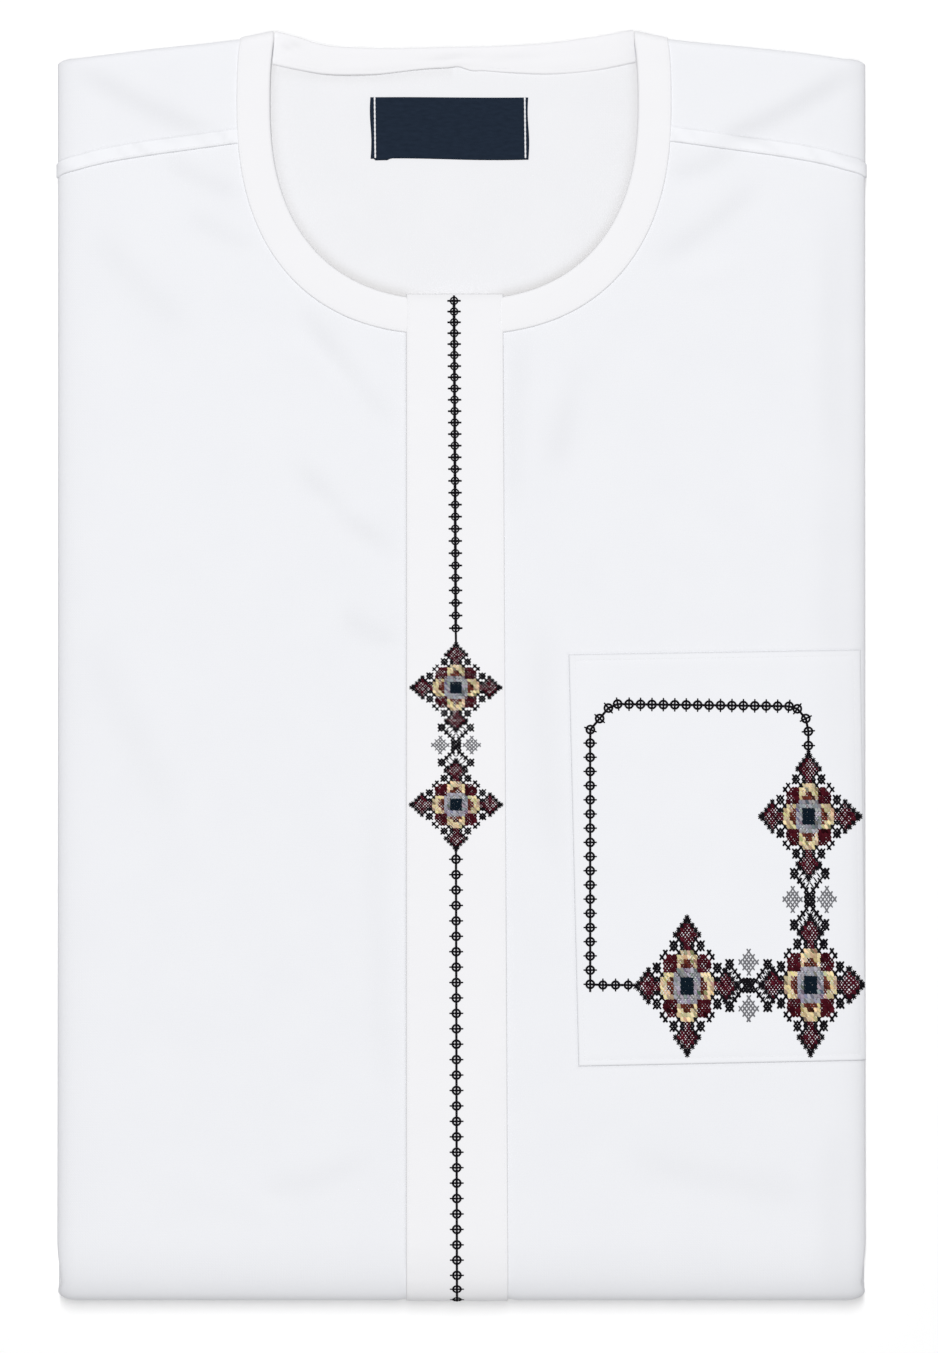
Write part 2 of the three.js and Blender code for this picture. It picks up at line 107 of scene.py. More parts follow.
white_room(0.25)
overhead_lamp(place=(-0.15, 1.4, 6), size=(0.9, 5.6), power=364)

# %% [markdown]
# ## Shader maths as ordinary maths
#
# A material is a graph of nodes. Wrapping a socket in a small class lets the maths be written as
# expressions, such as `tone * 0.7 + ribs * 0.12`, and each operator adds its Math node. Every
# other node comes from one method.


# %% The material helpers
class Wire:
    """One output socket of a material, with the operators that its maths needs."""

    def __init__(self, finish, socket):
        self.finish = finish
        self.socket = socket

    def maths(self, operation, second=0.0):
        return self.finish.node("ShaderNodeMath", {"operation": operation}, {0: self, 1: second})

    def __add__(self, other):
        return self.maths("ADD", other)

    def __mul__(self, other):
        return self.maths("MULTIPLY", other)

    def sine(self):
        return self.maths("SINE")


class Finish:
    """A material in the making, around one Principled shader."""

    def __init__(self, name, roughness, sheen=0.0, shine=0.2):
        self.material = bpy.data.materials.new(name)
        self.material.use_nodes = True
        self.tree = self.material.node_tree
        self.shader = self.tree.nodes["Principled BSDF"]
        self.set("Roughness", roughness)
        self.set("Sheen Weight", sheen)
        self.set("Specular IOR Level", shine)

    def set(self, name, value):
        """Puts a plain number or colour on the shader, or links a wire to it."""
        self.plug(self.shader.inputs[name], value)

    def plug(self, socket, value):
        if isinstance(value, Wire):
            self.tree.links.new(value.socket, socket)
        else:
            socket.default_value = value

    def node(self, kind, settings=None, sockets=None, out=0):
        """A node of a kind, with its settings, then its sockets, and one output as a wire."""
        node = self.tree.nodes.new(kind)
        for key, value in (settings or {}).items():
            setattr(node, key, value)
        for key, value in (sockets or {}).items():
            self.plug(node.inputs[key], value)
        return Wire(self, node.outputs[out])

    def pattern(self):
        """u and v along the cloth, in millimetres of the flat pattern."""
        uv = self.node("ShaderNodeUVMap", {"uv_map": "pattern"})
        split = self.node("ShaderNodeSeparateXYZ", sockets={0: uv}).socket.node
        return [Wire(self, split.outputs[k]) * (1 / MM) for k in (0, 1)]

    def vector(self, x, y, z=0.0):
        return self.node("ShaderNodeCombineXYZ", sockets={0: x, 1: y, 2: z})

    def noise(self, vector, scale, detail=2.0):
        sockets = {"Vector": vector, "Scale": scale, "Detail": detail}
        return self.node("ShaderNodeTexNoise", sockets=sockets)

    def blend(self, share, first, second):
        """A colour between two, by a share from 0 to 1."""
        return self.node("ShaderNodeMix", {"data_type": "RGBA"}, {0: share, 6: first, 7: second}, 2)

    def bump(self, heights, depth):
        """Raises the surface by `heights` (0 to 1) times `depth` in millimetres."""
        sockets = {"Height": heights, "Distance": depth * MM, "Strength": 1.0}
        self.set("Normal", self.node("ShaderNodeBump", sockets=sockets))


# %% [markdown]
# ## Plain-woven cotton
#
# Poplin is a fine plain weave: about 30 threads to the centimetre, slightly uneven, with a soft
# matt face. The weave is too fine for geometry, so it is a bump on the pattern coordinates, which
# go round the folds with the cloth. Its white is a cool one, and mottled very slightly.


# %% Cloth finishes
POPLIN_PITCH = 0.62  # mm for a pair of threads, one over and one under
SLUB_ALONG, SLUB_ACROSS = 0.12, 2.2  # slubs are long along their thread


def poplin(name, light, shade, painted_shade_colour, depth):
    """White plain weave: crossing sine waves for the threads, noise for slubs and tone.

    The mesh attribute hollow says how much of the painted shade colour shows: painted shade in creases,
    in corners, beside raised edges and near the sides and the bottom fold."""
    finish = Finish(name, roughness=0.86, sheen=0.08)
    hollow = finish.node("ShaderNodeAttribute", {"attribute_name": "hollow"}, out=2)
    u, v = finish.pattern()
    turn = 2 * math.pi / POPLIN_PITCH
    weave = (u * turn).sine() * (v * turn).sine()
    weft = finish.noise(finish.vector(u * SLUB_ALONG, v * SLUB_ACROSS), 1.0)
    warp = finish.noise(finish.vector(u * SLUB_ACROSS, v * SLUB_ALONG, 7.0), 1.0)
    slub = weft + warp
    mottle = finish.noise(finish.vector(u, v), 0.045, 3.0)
    tone = finish.blend(mottle * 0.7 + slub * 0.15, (*light, 1), (*shade, 1))
    # Painted shade: the hollow attribute blends the cloth's tone towards the painted shade colour.
    finish.set("Base Color", finish.blend(hollow, tone, (*painted_shade_colour, 1)))
    finish.bump(weave * 0.35 + slub * 0.65, depth)
    return finish.material


# Name, a lighter and a darker tone that the mottle mixes, the colour of painted shade, and the weave's
# depth in mm.
WHITES = [
    ("white_poplin", (0.866, 0.873, 0.899), (0.826, 0.834, 0.868), (0.575, 0.580, 0.605), 0.05),
    ("white_trim", (0.846, 0.844, 0.862), (0.816, 0.815, 0.836), (0.590, 0.588, 0.602), 0.03),
    # The inside's painted shade colour is warm, like the shadow under the neck bands.
    ("white_poplin_inside", (0.824, 0.826, 0.846), (0.786, 0.790, 0.816), (0.56, 0.548, 0.54), 0.05),
    ("hidden_cloth", (0.80, 0.81, 0.84), (0.74, 0.75, 0.79), (0.530, 0.535, 0.560), 0.05),
]
BODY_WHITE, TRIM_WHITE, INSIDE_WHITE, HIDDEN_WHITE = (poplin(*row) for row in WHITES)


def thread_finish(name):
    """Mercerised thread: its colour comes with each stitch, and its twist is a fine diagonal."""
    finish = Finish(name, roughness=0.7, shine=0.03)
    colour = finish.node("ShaderNodeAttribute", {"attribute_name": "thread_colour"})
    u, v = finish.pattern()
    twist = (u * 9.0 + v * 5.0).sine()
    finish.set("Base Color", colour)
    finish.bump(twist * 0.5 + 0.5, 0.05)
    return finish.material


THREAD = thread_finish("embroidery_thread")


def satin_ribbon(name):
    """Dark woven satin: fine ribs across the ribbon, with a dull shine."""
    finish = Finish(name, roughness=0.6, shine=0.04)
    u, v = finish.pattern()
    ribs = (v * (2 * math.pi / 0.42)).sine()
    floats = (u * (2 * math.pi / 0.9) + v * 3.0).sine()
    tone = finish.noise(finish.vector(u * 0.3, v * 0.9), 1.0)
    light = (0.020, 0.032, 0.056, 1)
    dark = (0.008, 0.014, 0.026, 1)
    finish.set("Base Color", finish.blend(tone * 0.7 + ribs * 0.12, dark, light))
    finish.bump(ribs * 0.5 + floats * 0.25 + 0.5, 0.06)
    return finish.material


NAVY = satin_ribbon("navy_label")

# %% [markdown]
# ## The folded shape
#
# The garment is drawn flat and folded by one function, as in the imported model, so every piece and
# every stitch lies where it should. Flat `x` runs across and flat `y` towards the neck. Past the
# sides and the shoulders the cloth turns under round half an ellipse, and past the bottom fold it
# goes round and back underneath.

# %% Sizes of the folded stack
HALF_WIDTH = 161.7
FOLD_END = -255.3
HEIGHT_AT_FOLD = 18.0
HEIGHT_AT_NECK = 13.2
LEVEL_FROM = 125.0
HEM_Y = 240.0
SHOULDER_ROLL = 3.0
SIDE_ROLL = 8.0
PACKET_GAP = 0.4  # between the two packets that lie on each other
GAP_AT_FOLD = 2.4  # it widens to this at the bottom fold,
GAP_FADE = 70.0  # within this distance of it

FOLD_RADIUS = HEIGHT_AT_FOLD / 2
FOLD_START = FOLD_END + FOLD_RADIUS
FOLD_LENGTH = math.pi * FOLD_RADIUS
SIDE_START = HALF_WIDTH - SIDE_ROLL
RECESS_DEPTH = 1.3  # the cloth's rise over the placket, under the stack
RECESS_LEFT = -22.8
RECESS_RIGHT = 19.3
RECESS_SLOPE = 2.4

SHOULDER_X = np.array([-161, -124, -104, -89, -82, -74, 68, 76, 83.5, 97, 116, 136, 161], float)
SHOULDER_Y = np.array(
    [241.2, 245.8, 247.9, 249.7, 251, 252.7, 252.9, 250.8, 249.7, 248.2, 246.5, 244.4, 240.8]
)


# %% From the flat pattern to the folded garment
def smooth(share):
    """0 to 1 with level ends: 3 s squared less 2 s cubed."""
    s = np.clip(share, 0, 1)
    return s * s * (3 - 2 * s)


def bell(offset, width):
    """1 at an offset of 0, fading to both sides within about two widths."""
    return np.exp(-((offset / width) ** 2))


def zipped(*axes):
    """Arrays of coordinates as one array of points."""
    return np.stack(np.broadcast_arrays(*axes), axis=-1)


def height(y):
    """The upper face: level at the neck, then rising with the power 1.5 to the bottom fold."""
    s = np.clip((LEVEL_FROM - y) / (LEVEL_FROM - FOLD_START), 0, 1)
    return HEIGHT_AT_NECK + (HEIGHT_AT_FOLD - HEIGHT_AT_NECK) * s**1.5


def packet(y):
    """Half of the height that the gap between the two packets leaves."""
    s = np.clip(1 - (y - FOLD_START) / GAP_FADE, 0, 1)
    return (height(y) - PACKET_GAP - (GAP_AT_FOLD - PACKET_GAP) * s * s) / 2


def folded_y(y):
    beyond = FOLD_START - y
    return np.where(beyond <= 0, y, FOLD_START + np.maximum(beyond - FOLD_LENGTH, 0))


def underside(y):
    """The flat y whose cloth lies on the floor at y."""
    return FOLD_START - FOLD_LENGTH - (y - FOLD_START)


def turn_length(y, reach=SIDE_ROLL):
    """The cloth in the half turn at a side, or at a shoulder, which reaches out less."""
    return math.pi * (reach + packet(folded_y(y)) / 2) / 2


def shoulder_start(x):
    return np.interp(np.clip(x, -SIDE_START, SIDE_START), SHOULDER_X, SHOULDER_Y) - SHOULDER_ROLL


def recess(x, y):
    """The rise over the placket: a ramp round the bottom fold, fading at the placket's sides."""
    round_fold = np.clip((FOLD_START - y) / FOLD_LENGTH, 0, 1)
    off = np.maximum(np.maximum(RECESS_LEFT - x, x - RECESS_RIGHT), 0)
    share = np.clip(1 - off / RECESS_SLOPE, 0, 1)
    return RECESS_DEPTH * share * (1 - np.cos(math.pi * round_fold)) / 2


def roll(x, y, lift):
    """Turns the cloth under past the flat, round half an ellipse.

    Its half axes are packet / 2, and SIDE_ROLL at the sides or SHOULDER_ROLL at the shoulders."""
    x, y, lift = np.broadcast_arrays(np.asarray(x, float), np.asarray(y, float), lift)
    flat_x = np.clip(x, -SIDE_START, SIDE_START)
    flat_y = np.minimum(y, shoulder_start(flat_x))
    past_x, past_y = x - flat_x, y - flat_y
    sideways = np.abs(past_x) / np.maximum(np.abs(past_x) + past_y, 1e-9)
    wide = SHOULDER_ROLL + (SIDE_ROLL - SHOULDER_ROLL) * sideways
    half = packet(folded_y(flat_y)) / 2
    turn = np.minimum(np.maximum(np.abs(past_x), past_y) / ((wide + half) / 2), math.pi)
    out_n, up_n = half * np.sin(turn), wide * np.cos(turn)
    scale = lift / np.hypot(out_n, up_n)
    out_x = SIDE_ROLL * np.sin(turn) + out_n * scale
    out_y = SHOULDER_ROLL * np.sin(turn) + out_n * scale
    depth = half * (1 - np.cos(turn)) - up_n * scale + recess(x, y)
    reach = np.maximum(np.hypot(past_x, past_y), 1e-9)
    return flat_x + out_x * past_x / reach, flat_y, out_y * past_y / reach, depth


def fold(x, y, outward, depth):
    """Carries a point over the top, round the fold's circle, or along the underside."""
    beyond = FOLD_START - y
    angle = np.clip(beyond / FOLD_RADIUS, 0, math.pi)
    radius = FOLD_RADIUS - depth
    above = beyond <= 0
    under = beyond >= FOLD_LENGTH
    y_round = FOLD_START - radius * np.sin(angle)
    z_round = FOLD_RADIUS + radius * np.cos(angle)
    y_out = np.where(above, y + outward, np.where(under, folded_y(y), y_round))
    z_out = np.where(above, height(y) - depth, np.where(under, depth, z_round))
    return zipped(x, y_out, z_out)


def lay(x, y, lift=0.0):
    """Places of flat points on the folded garment, `lift` mm off the body cloth's outside."""
    return fold(*roll(x, y, lift))


print("the fold is", round(FOLD_LENGTH, 1), "mm of cloth round")

# %% [markdown]
# ## Creases
#
# Pressed poplin is never quite flat. Three things show here: a slow unevenness over the whole
# front, a few long soft creases from the pressing, and small puckers beside the sewn edges. Each is
# a height in millimetres worked out from the flat pattern, and added to the lift.

# %% Soft creases of the body
# From x, y, to x, y, then the crease's half width and its height (below 0 is a trough).
CREASES = [
    (-66, 146, -23, 92, 4.3, -0.59),
    (-74, 134, -30, 102, 5.5, 0.34),
    (-70, 84, -23, 41, 4.3, -0.62),
    (-66, 66, -26, 60, 4.7, 0.28),
    (-50, 22, -23, 7, 4.7, -0.50),
    (-160, 241, -90, 207, 4.7, -0.74),
    (-122, 204, -84, 186, 3.9, -0.46),
    (-112, 181, -78, 165, 3.9, -0.37),
    (-150, 176, -104, 128, 6.2, -0.37),
    (92, 203, 164, 241, 4.3, -0.93),
    (80, 194, 114, 208, 3.9, -0.56),
    (74, 158, 122, 195, 4.7, -0.53),
    (80, 152, 118, 164, 4.7, 0.34),
    (56, 128, 36, 70, 5.9, -0.50),
    (26, 138, 22, 52, 4.3, -0.37),
    (66, 150, 44, 90, 5.1, 0.31),
    (150, 190, 151, 60, 5.5, -0.43),
    (150, 90, 151, -60, 6.2, -0.31),
    (150, -180, 151, -262, 6.2, -0.37),
    (-152, 18, -110, -70, 7.8, -0.31),
    (32, 30, 40, -96, 5.5, -0.31),
    (-34, -40, -28, -190, 5.1, -0.28),
    (60, -196, 150, -214, 7.0, -0.37),
    (-150, -190, -60, -222, 7.8, 0.31),
    (-90, -214, -30, -196, 5.5, -0.31),
]


def creases(x, y):
    """Each crease is a bell across its line, fading towards both ends of it."""
    total = np.zeros(np.broadcast(x, y).shape)
    for x0, y0, x1, y1, width, rise in CREASES:
        dx, dy = x1 - x0, y1 - y0
        length = math.hypot(dx, dy)
        along = ((x - x0) * dx + (y - y0) * dy) / length**2
        off = ((x - x0) * dy - (y - y0) * dx) / length
        bow = 2.5 * np.sin(along * 3.0)
        ends = smooth(along / 0.3) * smooth((1 - along) / 0.3)
        total = total + rise * ends * bell(off - bow, width)
    return total


def crease_painted_shade(x, y):
    """Painted shade in the creases: only in the troughs, and most in the deepest."""
    return 0.24 * np.maximum(-creases(x, y), 0)


BODY_GREY = 0.13  # of the body cloth where it lies single


def edge_grey(places):
    """Less light reaches the cloth near the sides and the bottom fold."""
    x, y = places[..., 0], places[..., 1]
    right = 0.22 * np.exp((x - HALF_WIDTH) / 7)
    left = 0.22 * np.exp((-x - HALF_WIDTH) / 5)
    return right + left + 0.16 * bell(y + 248.5, 6.5)


def unevenness(x, y):
    """Slow waves of unrelated lengths and directions, 0.1 to 0.3 mm high."""
    waves = 0.18 * np.sin(x / 31.0 + 0.6 * np.sin(y / 47.0))
    waves = waves + 0.15 * np.sin(y / 39.0 + 0.8 * np.sin(x / 53.0) + 1.3)
    return waves + 0.05 * np.sin((x + 0.7 * y) / 17.0 + 0.4) * np.sin(y / 61.0)


def flat_share(x, y):
    """1 on the flat upper face, less where the cloth turns at the sides, shoulders and fold."""
    side = smooth((SIDE_START - np.abs(x)) / 14 + 0.5)
    shoulder = smooth((shoulder_start(x) - y) / 6 + 0.2)
    return side * shoulder * smooth((y - FOLD_START + 12) / 40)


def relief(x, y):
    """What every piece on the upper face follows: the slow unevenness and the creases."""
    return (unevenness(x, y) + creases(x, y)) * flat_share(x, y)


def sag(y):
    """The cloth sinks where it starts to turn round the bottom fold, 2 mm at most."""
    past = FOLD_START - y
    return -2.2 * smooth((past + 16) / 24) * smooth((14 - past) / 14)


def puckers(distance, place, rise=0.07, reach=5.0, pitch=9.0):
    """Small waves along a seam: `place` runs along it, and they die away within `reach`."""
    ripple = np.sin(place * 2 * math.pi / pitch + 1.7 * np.sin(place / 23.0))
    return rise * ripple * bell(np.maximum(distance, 0), reach)


# %% [markdown]
# ## Meshes from arrays
#
# A piece of cloth is two grids of points, its face and its back, joined round the rim. A band or a
# placket is a closed profile carried along rows. Both are built as whole arrays and get a UV map
# that holds the flat pattern, in metres.


# %% Mesh builders
def put_mesh(name, points, faces, pattern, finish, sharp=50.0, colours=None, hollow=None):
    """One smooth-shaded object at the origin from points in mm, quads and pattern coordinates."""
    mesh = bpy.data.meshes.new(name)
    mesh.from_pydata((points.reshape(-1, 3) * MM).tolist(), [], faces.reshape(-1, 4).tolist())
    corners = np.empty(len(mesh.loops), np.int32)
    mesh.loops.foreach_get("vertex_index", corners)
    layer = mesh.uv_layers.new(name="pattern")
    flat = (pattern.reshape(-1, 2) * MM)[corners]
    layer.data.foreach_set("uv", flat.astype(np.float32).ravel())
    if colours is not None:
        attribute = mesh.color_attributes.new("thread_colour", "FLOAT_COLOR", "POINT")
        attribute.data.foreach_set("color", colours.astype(np.float32).ravel())
    # The hollow attribute holds how much painted shade each point gets.
    if hollow is not None:
        attribute = mesh.attributes.new("hollow", "FLOAT", "POINT")
        attribute.data.foreach_set("value", np.clip(hollow, 0, 1).astype(np.float32).ravel())
    mesh.materials.append(finish)
    mesh.validate()
    mesh.shade_smooth()
    mesh.set_sharp_from_angle(angle=math.radians(sharp))
    piece = add(name, mesh)
    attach(piece, "root")
    print(name, "has", len(mesh.polygons), "faces")
    return piece


def dress(piece, node):
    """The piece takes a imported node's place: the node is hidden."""
    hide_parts(node)
    return piece


def grid_quads(rows, columns, first=0):
    """The quads between neighbouring points of a grid, numbered from `first`."""
    at = first + np.arange(rows * columns).reshape(rows, columns)
    return np.stack([at[:-1, :-1], at[:-1, 1:], at[1:, 1:], at[1:, :-1]], axis=-1)


def volume(points, quads):
    """Six times the signed volume inside quads that close on themselves."""
    a, b, c, d = (points[quads[:, k]] for k in range(4))
    return np.einsum("ij,ij->", a, np.cross(b, c)) + np.einsum("ij,ij->", a, np.cross(c, d))


def closed(points, quads):
    """The quads turned outwards."""
    return quads if volume(points, quads) > 0 else quads[:, ::-1]


def wall(name, face, back, pattern, finish, hollow=None):
    """A closed piece of cloth between two grids of places, with quads round the rim."""
    rows, columns = face.shape[:2]
    points = np.concatenate([face.reshape(-1, 3), back.reshape(-1, 3)])
    count = rows * columns
    at = np.arange(count).reshape(rows, columns)
    rim = np.concatenate([at[0, :-1], at[:-1, -1], at[-1, :0:-1], at[:0:-1, 0]])
    after = np.roll(rim, -1)
    quads = np.concatenate(
        [
            grid_quads(rows, columns).reshape(-1, 4),
            grid_quads(rows, columns, count).reshape(-1, 4)[:, ::-1],
            np.stack([rim, rim + count, after + count, after], axis=-1),
        ]
    )
    flat = np.concatenate([pattern.reshape(-1, 2)] * 2)
    if hollow is not None:
        hollow = np.concatenate([hollow.ravel()] * 2)
    return put_mesh(name, points, closed(points, quads), flat, finish, hollow=hollow)


def cloth(node, x, y, lift, under, slot, grey, creased=1.0):
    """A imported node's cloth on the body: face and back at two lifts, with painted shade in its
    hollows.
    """
    face = lay(x, y, lift)
    # Painted shade from the creases, and near the sides and the bottom fold, is added to the piece's
    # own grey.
    grey = grey + creased * crease_painted_shade(x, y) + edge_grey(face)
    finish = {"white_poplin": BODY_WHITE, "white_trim": TRIM_WHITE}[slot]
    piece = wall(node + "_cloth", face, lay(x, y, under), zipped(x, y), finish, grey)
    return dress(piece, node)


def tube(name, places, pattern, finish, hollow=None):
    """A closed profile carried along rows: columns close on themselves, and both ends are capped.

    The profile has an even number of points, its second half under its first in reverse order,
    so a cap is a strip of quads between the halves."""
    rows, columns = places.shape[:2]
    at = np.arange(rows * columns).reshape(rows, columns)
    across = np.roll(at, -1, axis=1)
    sides = np.stack([at[:-1], across[:-1], across[1:], at[1:]], axis=-1).reshape(-1, 4)
    half = columns // 2
    k = np.arange(half - 1)
    cap = np.stack([k, columns - 1 - k, columns - 2 - k, k + 1], axis=-1)
    quads = np.concatenate([sides, cap, (cap + (rows - 1) * columns)[:, ::-1]])
    points = places.reshape(-1, 3)
    return put_mesh(name, points, closed(points, quads), pattern, finish, hollow=hollow)


def spaced(*stops):
    """Values that run through (value, steps) stops: each stop is reached in that many steps."""
    values = [stops[0]]
    for value, steps in stops[1:]:
        values.extend(np.linspace(values[-1], value, steps + 1)[1:])
    return np.array(values)


# %% [markdown]
# ## The front
#
# The front is one panel. It starts under the neck band and the yokes, covers the chest, goes round
# the bottom fold and lies under the stack as far as the hem. Its grid has vertical columns that
# start where the panel is cut at the top, so the neck's curve needs no trimming.

# %% The neck's outline
NECK_X = -3.0
NECK_Y = 225.2
NECK_POWER = 2.45
BAND_INSIDE = (73.6, 80.0)  # half axes, across and down
BAND_OUTSIDE = (87.0, 94.0)
BAND_WIDTH = 13.5
NECK_TOP = 249.0  # above it the neck gets no narrower
UNDER_BAND = 0.3  # the front is cut at this share of the band's width


def neck_axes(share):
    """Half axes of the rounded outline at a share of the band's width."""
    share = np.asarray(share, float)
    return [inner + (outer - inner) * share for inner, outer in zip(BAND_INSIDE, BAND_OUTSIDE)]


def superellipse(reach):
    """The outline (x/a)^n + (y/b)^n = 1 as y/b at a reach x/a, or the other way round."""
    return (1 - np.clip(reach, 0, 1) ** NECK_POWER) ** (1 / NECK_POWER)


def ring_share(dx, dy):
    """Where a point lies in the superellipse: 0 in the middle and 1 on the outline."""
    return (np.abs(dx) ** NECK_POWER + np.abs(dy) ** NECK_POWER) ** (1 / NECK_POWER)


def neck_half(share, y):
    """Half the neck's width at y."""
    across, down = neck_axes(share)
    return across * superellipse(np.abs(y - NECK_Y) / down)


def neck_low(share, x):
    """The outline's lower y at x, or the centre's y outside it."""
    across, down = neck_axes(share)
    return NECK_Y - down * superellipse(np.abs(x - NECK_X) / across)


def neck_distance(x, y):
    """About how far a flat point is outside the neck band, in mm."""
    across, down = BAND_OUTSIDE
    return (ring_share((x - NECK_X) / across, (y - NECK_Y) / down) - 1) * across


# %% The shoulder seam
# Its y and distance at the neck, its run to the side, and how far it slopes and curls down.
SEAM_Y, SEAM_FROM, SEAM_RUN, SEAM_SLOPE, SEAM_CURL = 208.2, 86.0, 75.5, 10.2, 4.0
WELT_WIDTH = 6.3


def seam_y(x):
    """The yoke's lower edge: a slow slope that curls down towards the side."""
    t = np.minimum((np.abs(x) - SEAM_FROM) / SEAM_RUN, 1)
    return SEAM_Y - SEAM_SLOPE * t - SEAM_CURL * np.maximum(t, 0) ** 6


# %% The front panel
CLOTH = 0.45  # body cloth
PLACKET_LEFT = -22.2
PLACKET_RIGHT_TOP = 16.7
PLACKET_RIGHT_FOLD = 18.7
PLACKET_TOP = 147.6
POCKET = {  # corners of the flat pattern: upper and lower, left and right
    "upper": ((42.8, 3.4), (158.4, 5.3)),
    "lower": ((46.7, -161.2), (161.2, -158.8)),
}


def pocket_inset(x, y):
    """How far a flat point is inside the pocket's nearest edge."""
    (ul, ur), (ll, lr) = POCKET["upper"], POCKET["lower"]
    down = (ul[1] - y) / (ul[1] - ll[1])
    across = (x - ul[0]) / (ur[0] - ul[0])
    left, right = ul[0] + (ll[0] - ul[0]) * down, ur[0] + (lr[0] - ur[0]) * down
    upper, lower = ul[1] + (ur[1] - ul[1]) * across, ll[1] + (lr[1] - ll[1]) * across
    return np.minimum(np.minimum(x - left, right - x), np.minimum(upper - y, y - lower))


def placket_right(y):
    share = np.clip((PLACKET_TOP - y) / (PLACKET_TOP - FOLD_START), 0, 1)
    return PLACKET_RIGHT_TOP + (PLACKET_RIGHT_FOLD - PLACKET_RIGHT_TOP) * share


def body_relief(x, y):
    """All the small heights of the body cloth: waves, creases and the puckers of the seams."""
    beside = np.maximum(PLACKET_LEFT - x, x - placket_right(y))
    below_neck = smooth((y - FOLD_START + 12) / 40) * (y < 132)
    heights = relief(x, y) + sag(y) + puckers(beside, y, rise=0.06) * below_neck
    around = neck_distance(x, y)
    heights = heights + puckers(around, x + 0.6 * y, rise=0.07, reach=6.0, pitch=11.0)
    below = seam_y(x) - y
    near_seam = (np.abs(x - NECK_X) > BAND_OUTSIDE[0]) & (below > -1)
    return heights + puckers(below, x, rise=0.06, pitch=8.0) * near_seam * flat_share(x, y)


def front_grid():
    """Flat x and y of the front: columns from the cut edge down, rows shared lower down."""
    turned = np.linspace(0, 1, 10)[1:]
    placket_stops = ((-25.0, 44), (-21.8, 8), (16.4, 10), (21.0, 10))
    flat = spaced(-SIDE_START, *placket_stops, (40.0, 7), (47.6, 16), (SIDE_START, 37))
    columns = np.r_[np.full(9, -SIDE_START), flat, np.full(9, SIDE_START)]
    share = np.r_[-turned[::-1], np.zeros(flat.size), turned]
    cut = np.minimum(seam_y(columns), neck_low(UNDER_BAND, columns))
    blend_y = 112.0  # down to here the rows follow the cut edge less and less
    upper = np.linspace(0, 1, 34)[:-1, None]
    rows_upper = cut * (1 - upper) + blend_y * upper
    pocket_rows = ((9.0, 32), (3.0, 12), (-158.0, 50), (-164.0, 12))
    lower = spaced(blend_y, *pocket_rows, (FOLD_START, 28), (FOLD_START - FOLD_LENGTH, 24))
    floor = underside(spaced(FOLD_START, (HEM_Y, 48)))[1:]
    y = np.concatenate([rows_upper, np.r_[lower, floor][:, None] * np.ones(columns.size)])
    return columns + share * turn_length(y), y


def seam_painted_shade(x, y):
    """Painted shade: fine dark lines on the body cloth beside the placket and round the pocket, where
    their raised edges shade it.
    """
    on_top = smooth((y - FOLD_START) / 10)
    left = 0.30 * bell(PLACKET_LEFT - x, 0.7)
    right = 0.14 * bell(x - placket_right(y), 0.7)
    pocket = 0.22 * bell(pocket_inset(x, y), 0.8)
    return ((left + right) * (y < 135) + pocket) * on_top


def front_panel():
    x, y = front_grid()
    lift = body_relief(x, y)
    # Painted shade beside the placket and round the pocket, on the body's grey.
    grey = BODY_GREY + seam_painted_shade(x, y)
    return cloth("front_panel", x, y, lift, lift - CLOTH, "white_poplin", grey)


front = front_panel()

# %% [markdown]
# ## The yokes
#
# A yoke carries the front over the shoulder. Its lower edge is lapped over the front and stitched
# twice, so a strip of double cloth stands up along the seam. The upper edge rolls over the shoulder
# and down between the packets.


# %% The two yokes
WELT_RISE = 0.62  # of the double cloth along the seam


def welt_lift(rise, x):
    """Height across the lapped seam: a rounded edge, a flat strip, and a drop at the stitches."""
    edge = np.sqrt(np.clip(rise / 0.5, 0, 1))
    strip = WELT_RISE * edge * (1 - smooth((rise - WELT_WIDTH + 0.9) / 1.1))
    groove = -0.10 * bell(rise - WELT_WIDTH, 0.55)
    ripple = 0.05 * np.sin(x * 0.9 + 2 * np.sin(x * 0.13)) * bell(rise - 3.1, 3.0)
    return 0.10 * edge + strip + groove + ripple


def yoke_lift(x, y):
    """The yoke's face: its seam is pressed flatter where the neck band covers it."""
    outside_band = 0.25 + 0.75 * smooth(neck_distance(x, y) / 2.5 + 0.6)
    seam = welt_lift(y - seam_y(x), x) * outside_band
    return seam + relief(x, y) + puckers(neck_distance(x, y), y, rise=0.05)


